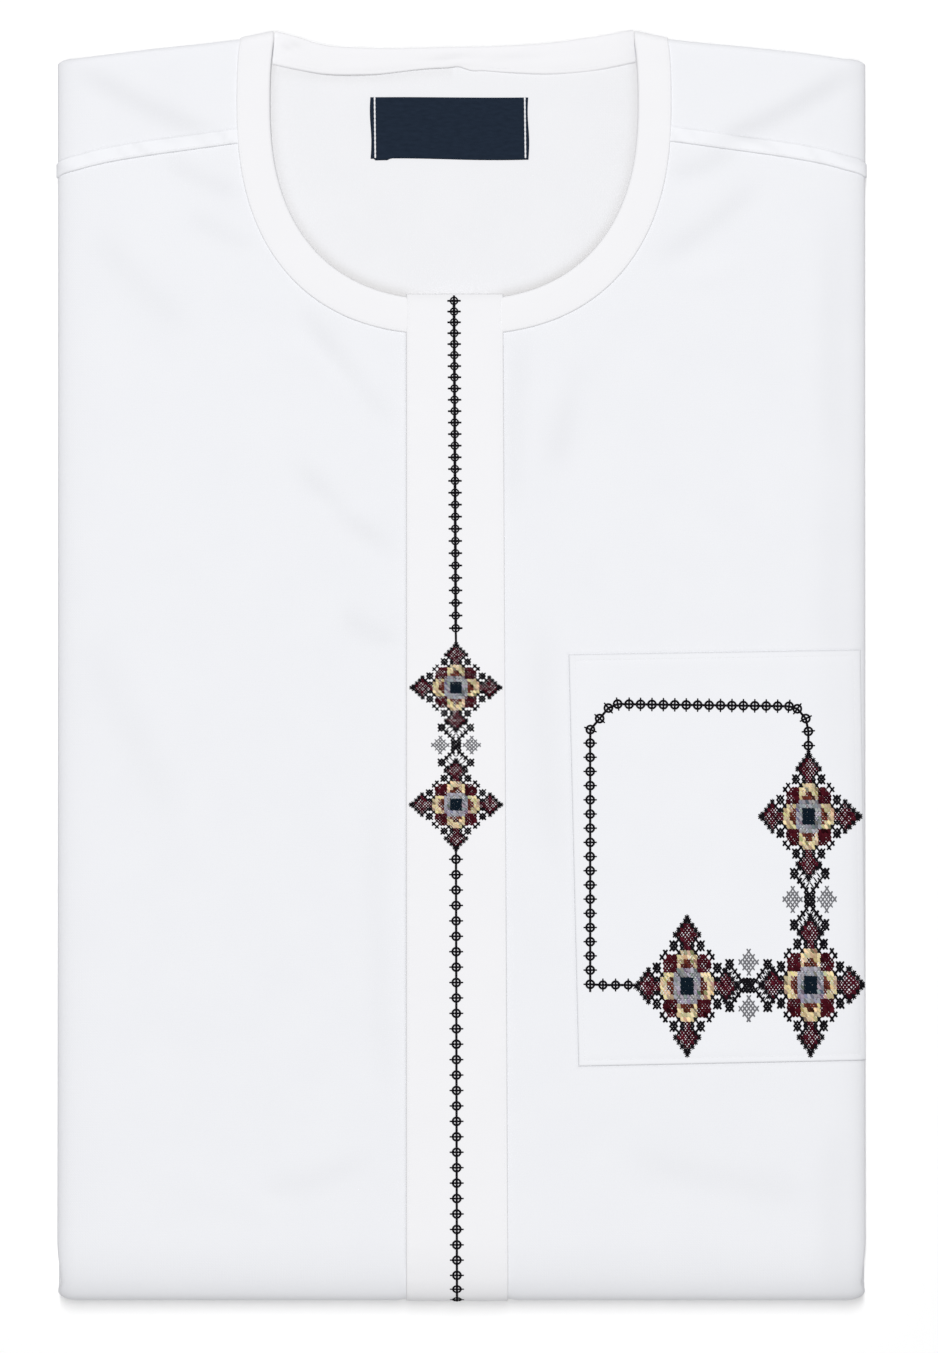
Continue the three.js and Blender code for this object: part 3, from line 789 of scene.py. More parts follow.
def yoke(side, name):
    """Rows rise from the seam to the shoulder and over it, columns run from neck to side."""
    rise = spaced(0.0, (0.5, 5), (5.0, 7), (7.2, 8), (12.0, 4))
    shoulder = np.linspace(0, 1, 14)[1:]
    turned = np.linspace(0, 1, 10)[1:]
    share = np.r_[np.linspace(0, 1, 36), np.ones(9)]
    past = np.r_[np.zeros(36), turned]
    side_y = SEAM_Y + 14

    def across(y):
        inner = side * NECK_X + neck_half(UNDER_BAND, np.minimum(y, NECK_TOP))
        return side * (inner + (SIDE_START - inner) * share) + side * past * turn_length(side_y)

    first = across(np.full(share.size, SEAM_Y))
    low = seam_y(first) + rise[:, None]
    top = shoulder_start(first)
    up = low[-1] + (top - low[-1]) * shoulder[:, None]
    over = top + turned[:, None] * turn_length(side_y, SHOULDER_ROLL)
    y = np.concatenate([low, up, over])
    x = across(y)
    lift = yoke_lift(x, y)
    under = np.minimum(lift, relief(x, y) + 0.1) - CLOTH
    above = y - seam_y(x) - WELT_WIDTH
    ripples = np.sin(x / 2.1 + 2.2 * np.sin(x / 7.3) + 0.6 * y) * np.sin(x / 11.0 + 0.5)
    # Painted shade of a dark line at the upper stitches; the strip also gets darker patches, and the
    # body's grey stops at it.
    grey = BODY_GREY * smooth(above / 0.8 + 0.5) + 0.20 * bell(above, 0.45)
    grey = grey + 0.17 * np.maximum(ripples, 0) * smooth(0.5 - above / 0.8)
    return cloth(name, x, y, lift, under, "white_poplin", grey)


yokes = [yoke(-1, "yoke_left"), yoke(1, "yoke_right")]

# %% [markdown]
# ## The bands round the neck
#
# The front bands are bias strips, folded over the neck's raw edge and stitched down. The profile
# curls under at the inside edge, lies flat, dips where the stitching pulls it, and ends in a
# rounded edge. It is carried along the rounded outline and over the shoulders.

# %% Profile of a band
# Share of the width from the neck outwards, and height over the body cloth, in mm.
BAND_PROFILE = np.array(
    [(0.085, -0.34), (0.045, -0.42), (0.014, -0.34), (0.000, -0.02), (0.012, 0.42), (0.040, 0.74)]
    + [(0.090, 0.88), (0.300, 0.90), (0.600, 0.88), (0.840, 0.86), (0.890, 0.79), (0.915, 0.76)]
    + [(0.940, 0.78), (0.970, 0.68), (0.992, 0.42), (1.000, 0.12)]
)
BAND_BACK_LIFT = 0.02  # of the strip's back over the body cloth, in mm
LIP_FOOT = 0.125  # share of the width that the lip at the inside edge takes


def band_underside(profile):
    """The profile's hidden half: back under the strip, then down behind the lip."""
    back = profile[::-1].copy()
    back[:, 1] = np.where(back[:, 0] > LIP_FOOT, BAND_BACK_LIFT, back[:, 1] - 0.05)
    back[:, 0] = np.clip(back[:, 0], LIP_FOOT, 0.985)
    return back


def neck_stations(side, shares):
    """Flat points of the band's rows: round the neck from the placket, then over the shoulder."""
    edge = PLACKET_LEFT if side < 0 else PLACKET_RIGHT_TOP
    stop = side * (edge - NECK_X) - 0.6
    across, down = neck_axes(shares)
    bottom = np.arccos((stop / across) ** (NECK_POWER / 2))
    angle = np.linspace(1, 0, 84)[:, None] * bottom
    bulge = 2 / NECK_POWER
    x_low, y_low = across * np.cos(angle) ** bulge, NECK_Y - down * np.sin(angle) ** bulge
    top_x = neck_half(shares, NECK_TOP)
    start = shoulder_start(NECK_X + side * top_x)
    y_up = NECK_Y + (start - NECK_Y) * np.linspace(0, 1, 14)[1:, None]
    x_up = neck_half(shares, np.minimum(y_up, NECK_TOP))
    y_over = start + np.linspace(0, 0.62, 9)[1:, None] * turn_length(HEM_Y, SHOULDER_ROLL)
    x_over = np.broadcast_to(top_x, y_over.shape)
    x = NECK_X + side * np.concatenate([x_low, x_up, x_over])
    return x, np.concatenate([y_low, y_up, y_over])


def neck_band(side, name):
    profile = np.concatenate([BAND_PROFILE, band_underside(BAND_PROFILE)])
    x, y = neck_stations(side, profile[:, 0])
    walk = np.cumsum(np.hypot(*np.gradient(np.stack([x[:, 0], y[:, 0]]), axis=1)))[:, None]
    face = np.arange(profile.shape[0]) < BAND_PROFILE.shape[0]
    middle = bell(profile[:, 0] - 0.55, 0.3)
    ripple = 0.05 * np.sin(walk / 5.3 + 1.5 * np.sin(walk / 19.0)) * middle * face
    over_seam = 0.12 * bell(y - SEAM_Y - 3, 4) * face
    lift = profile[:, 1] + ripple + relief(x, y) + over_seam
    pattern = zipped(profile[:, 0] * BAND_WIDTH, walk)
    piece = tube(name + "_cloth", lay(x, y, lift), pattern, TRIM_WHITE)
    return dress(piece, name)


bands = [neck_band(-1, "neck_band_left"), neck_band(1, "neck_band_right")]

# %% [markdown]
# ## Inside the neck
#
# Through the neck one looks at the inside of the back, a little lower than the front, with the back
# neck band along its upper edge and the woven label below. The label stays plain.

# %% The inside of the back
BACK_X = np.array([-75.0, -66, -56, -38, -7, 18, 36, 54, 69.0])
BACK_LOW = np.array([239.6, 237.6, 235.8, 235.4, 238, 236.2, 235.6, 237.2, 240.4])
BACK_HIGH = np.array([253.2, 250.8, 247.7, 246.2, 246.5, 247.1, 248.3, 250.9, 253.6])
BACK_DEPTH = 1.6  # under the front's outside


def through(table_x, table_y, x):
    """A smooth curve through a table's points: cubic pieces with the slopes of their chords."""
    slope = np.gradient(table_y, table_x)
    k = np.clip(np.searchsorted(table_x, x) - 1, 0, table_x.size - 2)
    run = table_x[k + 1] - table_x[k]
    t = np.clip((x - table_x[k]) / run, 0, 1)
    rise = t * t * (3 - 2 * t) * (table_y[k + 1] - table_y[k])
    bend = t * (1 - t) * ((1 - t) * slope[k] - t * slope[k + 1])
    return table_y[k] + rise + run * bend


def level(x, y, depth):
    """Places inside the neck, where the stack is level."""
    return zipped(x, y, HEIGHT_AT_NECK - depth)


def back_depth(x, y):
    """How far the back lies under the front's outside: more beside the neck's upper sides."""
    beside = smooth((np.abs(x - NECK_X) - 40) / 32)
    return BACK_DEPTH + 1.4 * beside * smooth((y - 160) / 50)


def back_relief(x, y):
    """The back lies loose: slow waves, and soft folds that run down from the neck band."""
    waves = 0.14 * np.sin(x / 21.0 + 0.7 * np.sin(y / 26.0)) * np.sin(y / 33.0 + 0.5)
    folds = 0.12 * np.sin(x / 7.0 + 1.2 * np.sin(x / 19.0))
    below = through(BACK_X, BACK_LOW, x) - y
    fade = bell(below, 9.0)
    hollow = -0.45 * bell(x + 40, 17) * bell(below - 2.5, 3.0)
    loose = 0.28 * bell(x + 25, 9) * bell(y - 188, 26)
    return waves + folds * fade + hollow + loose


def band_shade(x, y):
    """Painted shade on the back: in the corner under the neck bands, within 2 or 3 mm of their edge,
    wider on the right, and under the back band's lower edge on the left.
    """
    across, down = BAND_INSIDE
    ring = ring_share((x - NECK_X) / across, np.minimum(y - NECK_Y, 0) / down)
    inward = np.maximum(1 - ring, 0) * across
    upper = through(BACK_X, BACK_LOW, x) - y
    low = smooth((NECK_Y - 30 - y) / 50)
    corner = (0.30 + 0.34 * low) * bell(inward, 2.6)
    wide = 0.07 * smooth((x - 20) / 50) * bell(inward, 10)
    return corner + wide + 0.15 * bell(upper, 3.5) * (np.abs(x + 40) < 36)


def inside_back(x, y, lift):
    """Places `lift` mm over the back's inside."""
    return level(x, y, back_depth(x, y) - back_relief(x, y) - lift)


def back_panel():
    """Rows run across the neck, from under the front's lower edge up to the back band."""
    s = np.linspace(-1, 1, 121)
    t = np.linspace(0, 1, 80)[:, None]
    reach = 82.0
    x = NECK_X + reach * s + 0 * t
    low = neck_low(0.7, x)
    high = np.where(np.abs(x - NECK_X) < 70, through(BACK_X, BACK_HIGH, x) - 1.2, 243.0)
    y = low + (high - low) * t
    pattern = zipped(x, y)
    face, outside = inside_back(x, y, 0.0), inside_back(x, y, -CLOTH)
    return wall("back_panel_cloth", face, outside, pattern, INSIDE_WHITE, band_shade(x, y))


back = dress(back_panel(), "back_panel")


# %% The band at the back of the neck
# Share across from the lower edge to the upper one, and depth under the front's outside.
BACK_BAND_PROFILE = np.array(
    [(0.00, 1.38), (0.02, 1.00), (0.06, 0.84), (0.12, 0.86), (0.20, 0.74), (0.33, 0.66), (0.45, 0.62)]
    + [(0.60, 0.60), (0.75, 0.62), (0.90, 0.74), (0.97, 1.05), (1.00, 1.60), (1.00, 2.40), (0.97, 3.00)]
)
# Small wrinkles in it: the middle's x and y, half lengths along and across, and the height.
WRINKLES = [
    (-5.0, 242.2, 9.0, 1.1, -0.34),
    (-2.0, 240.0, 7.0, 0.9, 0.26),
    (20.0, 242.4, 10.0, 1.3, -0.20),
    (-68.5, 247.0, 4.5, 1.2, -0.40),
    (-36.0, 238.6, 16.0, 1.3, 0.16),
    (44.0, 240.4, 12.0, 1.3, 0.16),
]


def wrinkles(x, y):
    total = 0.0
    for x0, y0, along, across, rise in WRINKLES:
        bow = y0 + 0.9 * np.sin((x - x0) / along)
        total = total + rise * bell(x - x0, along) * bell(y - bow, across)
    return total


def neck_band_back():
    """A puckered strip: rounded over the neck's edge above, and stitched down below."""
    x_row = spaced(-75.2, (69.2, 180))[:, None]
    face = BACK_BAND_PROFILE
    back = zipped(np.clip(face[::-1, 0], 0.02, 0.90), 1.50)
    back[:2, 1] = 2.9
    profile = np.concatenate([face, back])
    low = through(BACK_X, BACK_LOW, x_row)
    high = through(BACK_X, BACK_HIGH, x_row)
    pinch = 0.7 * bell(x_row + 1.5, 3.2) - 0.5 * bell(x_row - 4.5, 3.0)
    y = low + (high - low) * profile[:, 0] + pinch * (1 - profile[:, 0])
    pull = np.sin(x_row / 4.1 + 1.1 * np.sin(x_row / 11.0))
    across = bell(profile[:, 0] - 0.2, 0.25)
    outer = np.arange(len(profile)) < len(face)
    ends = np.clip((np.abs(x_row + 3) - 60) / 12, 0, 1) * np.sign(x_row)
    x = x_row - ends * 0.9 * (profile[:, 0] - 0.5)
    depth = profile[:, 1] - (0.07 * pull * across + wrinkles(x, y)) * outer
    pattern = zipped(x, y)
    places = level(x, y, depth + back_depth(x, y) - BACK_DEPTH)
    # Painted shade in the band's wrinkles and at its right end.
    grey = 0.6 * np.maximum(-wrinkles(x, y), 0) + 0.3 * np.exp((x - 69.2) / 3.5)
    return tube("neck_band_back_cloth", places, pattern, TRIM_WHITE, grey)


band_back = dress(neck_band_back(), "neck_band_back")

# %% The label
LABEL = {"left": -36.4, "right": 26.8, "low": 201.6, "high": 226.4}
LABEL_WIDTH = LABEL["right"] - LABEL["left"]
LABEL_DEPTH = LABEL["high"] - LABEL["low"]


def label_lift(u, v):
    """The ribbon's height over the back at shares u across and v up: rounded rim, soft waves."""
    from_end = np.minimum(u, 1 - u) * LABEL_WIDTH
    from_edge = np.minimum(from_end, np.minimum(v, 1 - v) * LABEL_DEPTH)
    rim = np.sqrt(np.clip(from_edge / 0.6, 0, 1))
    stitched = -0.16 * bell(from_end - 1.6, 0.6)
    waves = 0.12 * np.sin(u * 9.0 + v * 2.0) + 0.08 * np.sin(v * 7.0 + u * 3.0)
    return 0.12 + rim * (0.5 + stitched + waves)


def label():
    """A ribbon with slightly bowed edges, and its ends and a corner turned under."""
    u = spaced(0.0, (0.012, 3), (0.04, 6), (0.96, 56), (0.988, 6), (1.0, 3))[None, :]
    v = spaced(0.0, (0.03, 3), (0.97, 24), (1.0, 3))[:, None]
    bow = 0.35 * np.sin(u * 5.2 + 0.6)
    x = LABEL["left"] + LABEL_WIDTH * u + 0.3 * np.sin(v * 6.0)
    corner = smooth((x - LABEL["left"] - 1.2) / 0.8) * smooth((LABEL["left"] + 8 - x) / 0.8)
    y = LABEL["low"] + LABEL_DEPTH * v + bow * (1 - 0.7 * v) - 0.7 * corner * (1 - v) ** 6
    face = inside_back(x, y, label_lift(u, v))
    under = inside_back(x, y, 0.02)
    return wall("label_ribbon", face, under, zipped(x, y), NAVY)


label_piece = dress(label(), "label")

# %% [markdown]
# ## The placket and the pocket
#
# Both are interfaced poplin, turned in at the edges and topstitched, so they are crisper and a bit
# brighter than the body. Each edge is rounded, dips at the stitching and rises again inside.


# %% Height across a topstitched edge
def stitched_edge(distance, rise, inset):
    """Height at a distance from a turned edge: a rounded rim, a dip at the stitches, then flat."""
    rim = np.sqrt(np.clip(1 - (1 - np.clip(distance / 0.55, 0, 1)) ** 2, 0, 1))
    dip = -0.11 * bell(distance - inset, 0.5)
    inner = 0.06 * smooth((distance - inset) / 2.5)
    return rise * rim + dip * rim + inner


# %% The placket
PLACKET_RISE = 0.78
PLACKET_INSET = 1.2  # from the edge to its stitches


def placket_relief(x, y):
    """The placket is stiffer than the body and takes its waves up less."""
    return relief(x, y) * 0.5 + sag(y)


def placket_lift(x, y):
    """The placket's face as a lift over the body cloth."""
    from_side = np.minimum(x - PLACKET_LEFT, placket_right(y) - x)
    from_top = np.clip((PLACKET_TOP - y) / 0.55, 0, 1)
    rim_top = np.sqrt(1 - (1 - from_top) ** 2)
    off_stitches = np.abs(from_side - PLACKET_INSET)
    ripple = puckers(off_stitches, y, rise=0.04, reach=1.6, pitch=6.5) * (from_side > 0.5)
    edge = stitched_edge(from_side, PLACKET_RISE, PLACKET_INSET)
    return edge * rim_top + ripple + placket_relief(x, y)


def placket():
    """Columns across the strip, rows from the neck round the fold to the hem."""
    width = np.array([0, 0.1, 0.3, 0.55, 0.85, 1.2, 1.55, 2.0, 3.2, 6.0, 11.0, 16.0])
    rows = np.r_[
        PLACKET_TOP - np.array([0, 0.1, 0.3, 0.55, 0.9, 1.4, 2.2, 3.2]),
        spaced(PLACKET_TOP - 5, (FOLD_START, 260), (FOLD_START - FOLD_LENGTH, 24)),
        underside(spaced(FOLD_START, (HEM_Y, 48)))[1:],
    ][:, None]
    right = placket_right(rows)
    x = np.concatenate([PLACKET_LEFT + width + 0 * rows, right - width[::-1] + 0 * rows], axis=1)
    y = rows + 0 * x
    under = placket_relief(x, y) + 0.02 - 1.3 * (PLACKET_TOP - y < 1.3)
    lift = np.maximum(placket_lift(x, y), under + 0.05)
    # Painted shade along the placket's top and its sides, strongest on the left.
    grey = 0.16 * bell(PLACKET_TOP - y, 2.0) + 0.50 * bell(x - PLACKET_LEFT, 0.5)
    grey = grey + 0.16 * bell(placket_right(y) - x, 0.6)
    return cloth("placket", x, y, lift, under, "white_trim", grey, creased=0.4)


placket_piece = placket()

# %% The pocket
POCKET_WIDTH, POCKET_DEPTH = 115.0, 163.6
POCKET_RISE = 0.62
POCKET_INSET = 2.5  # from the edge to its stitches


def close_at_ends(length, count):
    """Shares of a length: close together near both of its ends, even between them."""
    near = np.array([0, 0.08, 0.25, 0.5, 0.9, 1.5, 2.1, 2.5, 2.9, 3.6, 5.0]) / length
    return np.r_[near, np.linspace(near[-1], 1 - near[-1], count)[1:-1], 1 - near[::-1]]


def pocket_point(s, t):
    """Flat point at shares s (left to right) and t (upper to lower) of the pocket."""
    corners = zip(*POCKET["upper"], *POCKET["lower"])
    return [(a * (1 - s) + b * s) * (1 - t) + (c * (1 - s) + d * s) * t for a, b, c, d in corners]


def pocket_relief(x, y):
    """The pocket follows the body's waves less closely, and stands off it along the opening."""
    opening = 0.35 * bell(y - 4, 9) * bell(x - 102, 38)
    return relief(x, y) * 0.8 + opening


def pocket_lift(x, y):
    """The pocket's face as a lift: on the body at its edges, on its own relief further in."""
    inset = pocket_inset(x, y)
    own = smooth(inset / 3)
    ripple = puckers(np.abs(inset - POCKET_INSET), x + y, rise=0.04, reach=2.0, pitch=6.0)
    base = pocket_relief(x, y) * own + body_relief(x, y) * (1 - own)
    return stitched_edge(inset, POCKET_RISE, POCKET_INSET) + base + ripple * (inset > 0.6)


def pocket():
    """A grid in shares of its sides, closer along the edges."""
    x, y = pocket_point(close_at_ends(POCKET_WIDTH, 90), close_at_ends(POCKET_DEPTH, 110)[:, None])
    under = np.minimum(body_relief(x, y), pocket_relief(x, y)) + 0.02
    lift = np.maximum(pocket_lift(x, y), under + 0.05)
    # Painted shade along the pocket's edges, on a little of the body's grey.
    grey = 0.36 * bell(pocket_inset(x, y), 0.5) + 0.85 * BODY_GREY
    return cloth("pocket", x, y, lift, under, "white_poplin", grey, creased=0.6)


pocket_piece = pocket()

# %% [markdown]
# ## The hidden layers
#
# The back, the sleeves and the turned-in sides fill the two packets. Only their edges show, at the
# hem under the shoulders and below the back of the neck, as a pile of rounded folds.


# %% Folded layers
def fold_nose(name, x_from, x_to, y_back, y_edge, z_low, z_high, wave, phase):
    """One folded layer: a flat tongue across the stack whose edge towards +Y is rounded."""
    x = spaced(x_from, (x_to, 80))[:, None]
    turn = np.linspace(-math.pi / 2, math.pi / 2, 9)
    nose = y_edge + wave * np.sin(x / 23.0 + phase) + 0.4 * wave * np.sin(x / 7.0 + 2 * phase)
    half = (z_high - z_low) / 2
    lean = 0.12 * np.sin(x / 17.0 + phase * 1.7)
    y_turn = nose - half + half * np.cos(turn)
    z_turn = (z_low + z_high) / 2 + half * np.sin(turn) + lean
    y = np.concatenate([y_back + 0 * x, y_turn, y_back + 0 * x], axis=1)
    z = np.concatenate([z_low + lean, z_turn, z_high + lean], axis=1)
    places = zipped(x, y, z)
    places = np.concatenate([places, places[:, -1:]], axis=1)  # an even number for the caps
    pattern = zipped(places[..., 0], places[..., 1] + places[..., 2])
    return tube(name, places, pattern, HIDDEN_WHITE)


def core():
    """The packets' filling: from just under the cloth to the gap, round the bottom fold."""
    flat = np.r_[[-SIDE_START] * 3, np.linspace(-SIDE_START, SIDE_START, 60), [SIDE_START] * 3]
    share = np.r_[-0.42, -0.27, -0.12, np.zeros(60), 0.12, 0.27, 0.42]
    under_back = np.abs(flat - NECK_X) < 70
    end = np.where(under_back, through(BACK_X, BACK_HIGH, flat) - 6, shoulder_start(flat) - 0.6)
    lower = spaced(200.0, (FOLD_START, 30), (FOLD_START - FOLD_LENGTH, 16))
    floor = underside(spaced(FOLD_START, (226.0, 20)))[1:]
    y = np.concatenate([[end], np.r_[225.0, lower, floor][:, None] + 0 * flat])
    x = flat + share * turn_length(y)
    in_neck = (neck_distance(x, y) < -4) & (y > NECK_Y - 95)
    in_neck = in_neck | (np.abs(x - NECK_X) < 74) & (y > NECK_Y)
    px, py, _, depth = roll(x, y, -1.0 + sag(y) + relief(x, y))
    thick = packet(folded_y(y))
    mirrored = np.where(np.abs(flat) < SIDE_START - 0.2, thick - 0.05, thick - depth)
    depth = depth + 2.6 * in_neck
    face, inside = (fold(px, py, 0, z) for z in (depth, np.maximum(mirrored, depth + 0.1)))
    return wall("folded_layers_core", face, inside, zipped(x, y), HIDDEN_WHITE)


# Ends of x, y of the back and of the edge, heights, waviness and phase of each layer.
LAYERS = [
    ("layer_hem_low", -154.6, 154.6, 214.0, 238.6, 0.55, 1.75, 0.5, 0.3),
    ("layer_hem_second", -155.4, 155.6, 214.0, 236.4, 1.85, 3.25, 0.9, 1.9),
    ("layer_hem_third", -155.6, 155.8, 214.0, 237.9, 3.35, 4.65, 0.8, 3.4),
    ("layer_hem_upper", -154.8, 154.4, 214.0, 235.6, 4.75, 6.25, 1.1, 5.0),
    ("layer_neck_low", -72.0, 66.0, 220.0, 243.9, 7.0, 8.3, 0.7, 2.2),
    ("layer_neck_upper", -71.0, 65.0, 220.0, 242.6, 8.4, 9.7, 0.8, 4.1),
]


def folded_layers():
    pieces = [core()] + [fold_nose(*row) for row in LAYERS]
    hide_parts("folded_layers")
    return pieces


layers = folded_layers()

# %% [markdown]
# ## Threads
#
# Every stitch is a short thread that lies on the cloth: six-sided, thicker in the middle, its ends
# drawn down into the cloth. A cross-stitch is two of them, the second over the first. All the
# stitches of one motif are one mesh, worked out in one go.

# %% Stitches as spindles
# Black, navy, silver, gold, burgundy, red-brown, dark maroon, light grey and white.
THREAD_COLOURS = {
    "K": (0.006, 0.005, 0.007),
    "N": (0.004, 0.010, 0.018),
    "S": (0.248, 0.244, 0.278),
    "G": (0.575, 0.465, 0.275),
    "B": (0.054, 0.005, 0.011),
    "R": (0.095, 0.020, 0.013),
    "D": (0.046, 0.004, 0.008),
    "L": (0.165, 0.166, 0.180),
    "W": (0.815, 0.818, 0.840),
}
THREAD_COLOURS.update({letter: THREAD_COLOURS["K"] for letter in "QT"})  # squares and teeth
DYED = "SGBRD"  # these vary in tone from stitch to stitch, the others don't
AROUND = 6  # sides of a thread
THREAD_RISE = 0.26  # height of an embroidery thread, in mm


def spindles(start, end, width, rise, arch, ground, taper=0.28):
    """Places, quads and pattern of low threads from start to end, both (n, 2) flat points.

    `ground` gives the height of the cloth under flat points, `width` and `rise` are the thread's
    size, `arch` is how far its middle is lifted, and `taper` the share lost at its ends."""
    s = np.array([0.0, 0.5, 1.0])[None, :, None]
    turn = (np.arange(AROUND) / AROUND * 2 * math.pi)[None, None, :]
    middle = 1 - (2 * s - 1) ** 2
    full = 1 - taper * (1 - middle)
    width = np.broadcast_to(width, len(start))[:, None, None]
    (x0, y0), (dx, dy) = (a.T[:, :, None, None] for a in (start, end - start))
    length = np.hypot(dx, dy)
    off = np.cos(turn) * width / 2 * full
    x = x0 + dx * s - dy / length * off
    y = y0 + dy * s + dx / length * off
    lift = np.sin(turn) * rise / 2 * full + arch * middle + rise * 0.25
    places = lay(x, y, ground(x, y) + lift)
    count, stops = places.shape[0], places.shape[1]
    first = (np.arange(count) * stops * AROUND)[:, None, None]
    k = np.arange(AROUND)
    ring = (np.arange(stops - 1) * AROUND)[None, :, None]
    here, there = first + ring + k, first + ring + (k + 1) % AROUND
    sides = np.stack([here, there, there + AROUND, here + AROUND], axis=-1).reshape(-1, 4)
    cap = np.array([[0, 3, 2, 1], [0, 5, 4, 3]])
    last = (stops - 1) * AROUND
    caps = first[:, :, 0, None] + np.concatenate([cap, cap[:, ::-1] + last])[None]
    quads = np.concatenate([sides, caps.reshape(-1, 4)])
    u = np.broadcast_to(s * length, places.shape[:3])
    v = np.broadcast_to(turn * width / 2, places.shape[:3])
    return places.reshape(-1, 3), quads, np.stack([u, v], axis=-1).reshape(-1, 2)


# Width of a thread as a share of its cell: dense in the dark squares, open in the grey.
COVER = dict(K=0.66, T=0.50, Q=0.62, N=0.76, S=0.62, G=0.64, R=0.62, B=0.55, D=0.68, L=0.44)
# Half a cross in cells: a little over half, so that the edges of a shape look toothed.
REACH = dict(K=0.62, T=0.60, Q=0.70)
USUAL_REACH = 0.57
TOOTH = 0.80  # half a tooth's upright cross, in cells


def thread_widths(cells, letters, cell, rng):
    """Widths in mm: colours vary most, and the red net has thick and thin crosses in turn."""
    width = np.array([COVER[letter] for letter in letters]) * cell
    uneven = np.array([0.20 if letter in DYED else 0.08 for letter in letters])
    in_turn = np.floor(cells[:, 0]) + np.floor(cells[:, 1])
    net = np.array([letter in "BD" for letter in letters])
    width = width * np.where(net, 1 + 0.20 * (-1) ** in_turn, 1)
    return width * np.clip(1 + rng.normal(0, 1, len(cells)) * uneven, 0.5, 1.3)


def crosses(cells, letters, centre, cell, seed, ground):
    """Cross-stitches, the upper thread arched over the lower: cells is (n, 2) of cell places."""
    rng = np.random.default_rng(seed)
    size = np.array(cell)
    middle = np.array(centre) + cells * size + rng.normal(0, 0.04, (len(cells), 2))
    width = thread_widths(cells, letters, size.mean(), rng)
    reach = np.array([REACH.get(letter, USUAL_REACH) for letter in letters])
    lean = reach[:, None] * size + rng.normal(0, 0.03, (len(cells), 2))
    under, over = lean * [1, 1], lean * [1, -1]
    starts = np.concatenate([middle - under, middle - over])
    ends = np.concatenate([middle + under, middle + over])
    arch = np.repeat([0.04, 0.20], len(cells))[:, None, None]
    return spindles(starts, ends, np.tile(width, 2), THREAD_RISE, arch, ground), letters * 2


def teeth(cells, letters, centre, cell, ground):
    """Upright black crosses over the outline's steps, which stick out as teeth."""
    size = np.array(cell)
    outline = cells[[letter == "T" for letter in letters]]
    middle = np.array(centre) + outline * size
    arms = np.concatenate([middle * 0 + [TOOTH * size[0], 0], middle * 0 + [0, TOOTH * size[1]]])
    middle = np.tile(middle, (2, 1))
    part = spindles(middle - arms, middle + arms, 0.30 * size.mean(), THREAD_RISE, 0.12, ground)
    return part, ["T"] * len(middle)


def stitch_mesh(name, work):
    """Joins (part, letters) pairs into one piece: a part is from `spindles`, with a letter each."""
    rng = np.random.default_rng(5)
    points, quads, pattern, colours = [], [], [], []
    first = 0
    for (place, quad, flat), letter in work:
        count = len(letter)
        each = len(place) // count
        base = np.array([THREAD_COLOURS[a] for a in letter])
        dyed = np.array([a in DYED for a in letter])[:, None]
        tone = 1 + rng.normal(0, 0.36, (count, 1)) * dyed + rng.normal(0, 0.08, (count, 3)) * dyed
        tone = np.clip(tone, 0.3, 1.7)
        rgba = np.concatenate([np.clip(base * tone, 0, 1), np.ones((count, 1))], axis=1)
        colours.append(np.repeat(rgba, each, axis=0))
        points.append(place)
        quads.append(quad + first)
        pattern.append(flat)
        first += len(place)
    arrays = (np.concatenate(part) for part in (points, quads, pattern))
    piece = put_mesh(name, *arrays, THREAD, sharp=80, colours=np.concatenate(colours))
    return piece


# %% [markdown]
# ## The star, charted for cross-stitch
#
# The motif is the eight-pointed diamond star of counted embroidery: a small square at its heart,
# four heart-shaped petals, four blocks with open corners, and diamond tips. It is the same in all
# four quarters and across the diagonals, so the chart needs only an eighth of it: a row for each
# cell outwards from the middle, and in it a letter for each cell to the side. A dot is bare cloth.

# %% The star's chart
STAR = [
    "N",
    "NN",
    "SSS",
    "SSSD",
    "RRGDD",
    "RGGDDD",
    "GGGDDD.",
    "GGK...K.",
    "BK.QQ....",
    "BK.QQ.....",
    "BBK........",
    "BBBT........",
    "BBT..........",
    "BT............",
    "T..............",
]
TIP = 15.3  # one more cross ends each point, on the axis


def star_cells():
    """Cell centres and letters of the whole star, from its eighth."""
    kept = {}
    for row, letters in enumerate(STAR):
        for column, letter in enumerate(letters):
            if letter != ".":
                i, j = column + 0.5, row + 0.5
                for x, y in ((i, j), (j, i)):
                    kept.update({(x * p, y * q): letter for p in (-1, 1) for q in (-1, 1)})
    kept.update({(x, y): "T" for x, y in ((0, TIP), (0, -TIP), (TIP, 0), (-TIP, 0))})
    return np.array(list(kept)), list(kept.values())


STAR_CELLS, STAR_LETTERS = star_cells()
print("a star has", len(STAR_LETTERS), "cross-stitches")

# %% [markdown]
# The link between two stars is a short bar with slanting arms that end in small squares, and a grey
# diamond on each side. Its chart is a quarter: rows outwards along the link, letters sideways.

# %% The link's chart
LINK = [
    "KK.LLLLL",
    "KK..LLL",
    ".K...L",
    "..K",
    "...K",
    "....QQ",
    "....QQ",
    "...K",
]
DIAMOND_X, DIAMOND_PITCH = 5, 1.16  # the grey crosses stand further apart, in cells
TIES = [(0.65, 3.05), (1.65, 4.2), (2.6, 5.2)]  # slanting ties from the arms to the star's point


def link_cells():
    """Cell centres and letters of the whole link, with x across it and y along it."""
    kept = {}
    for j, letters in enumerate(LINK):
        for i, letter in enumerate(letters):
            if letter != ".":
                x, y = i, j
                if letter == "L":
                    x, y = DIAMOND_X + (i - DIAMOND_X) * DIAMOND_PITCH, j * DIAMOND_PITCH
                kept.update({(x * p, y * q): letter for p in (-1, 1) for q in (-1, 1)})
    return np.array(list(kept), float), list(kept.values())


LINK_CELLS, LINK_LETTERS = link_cells()


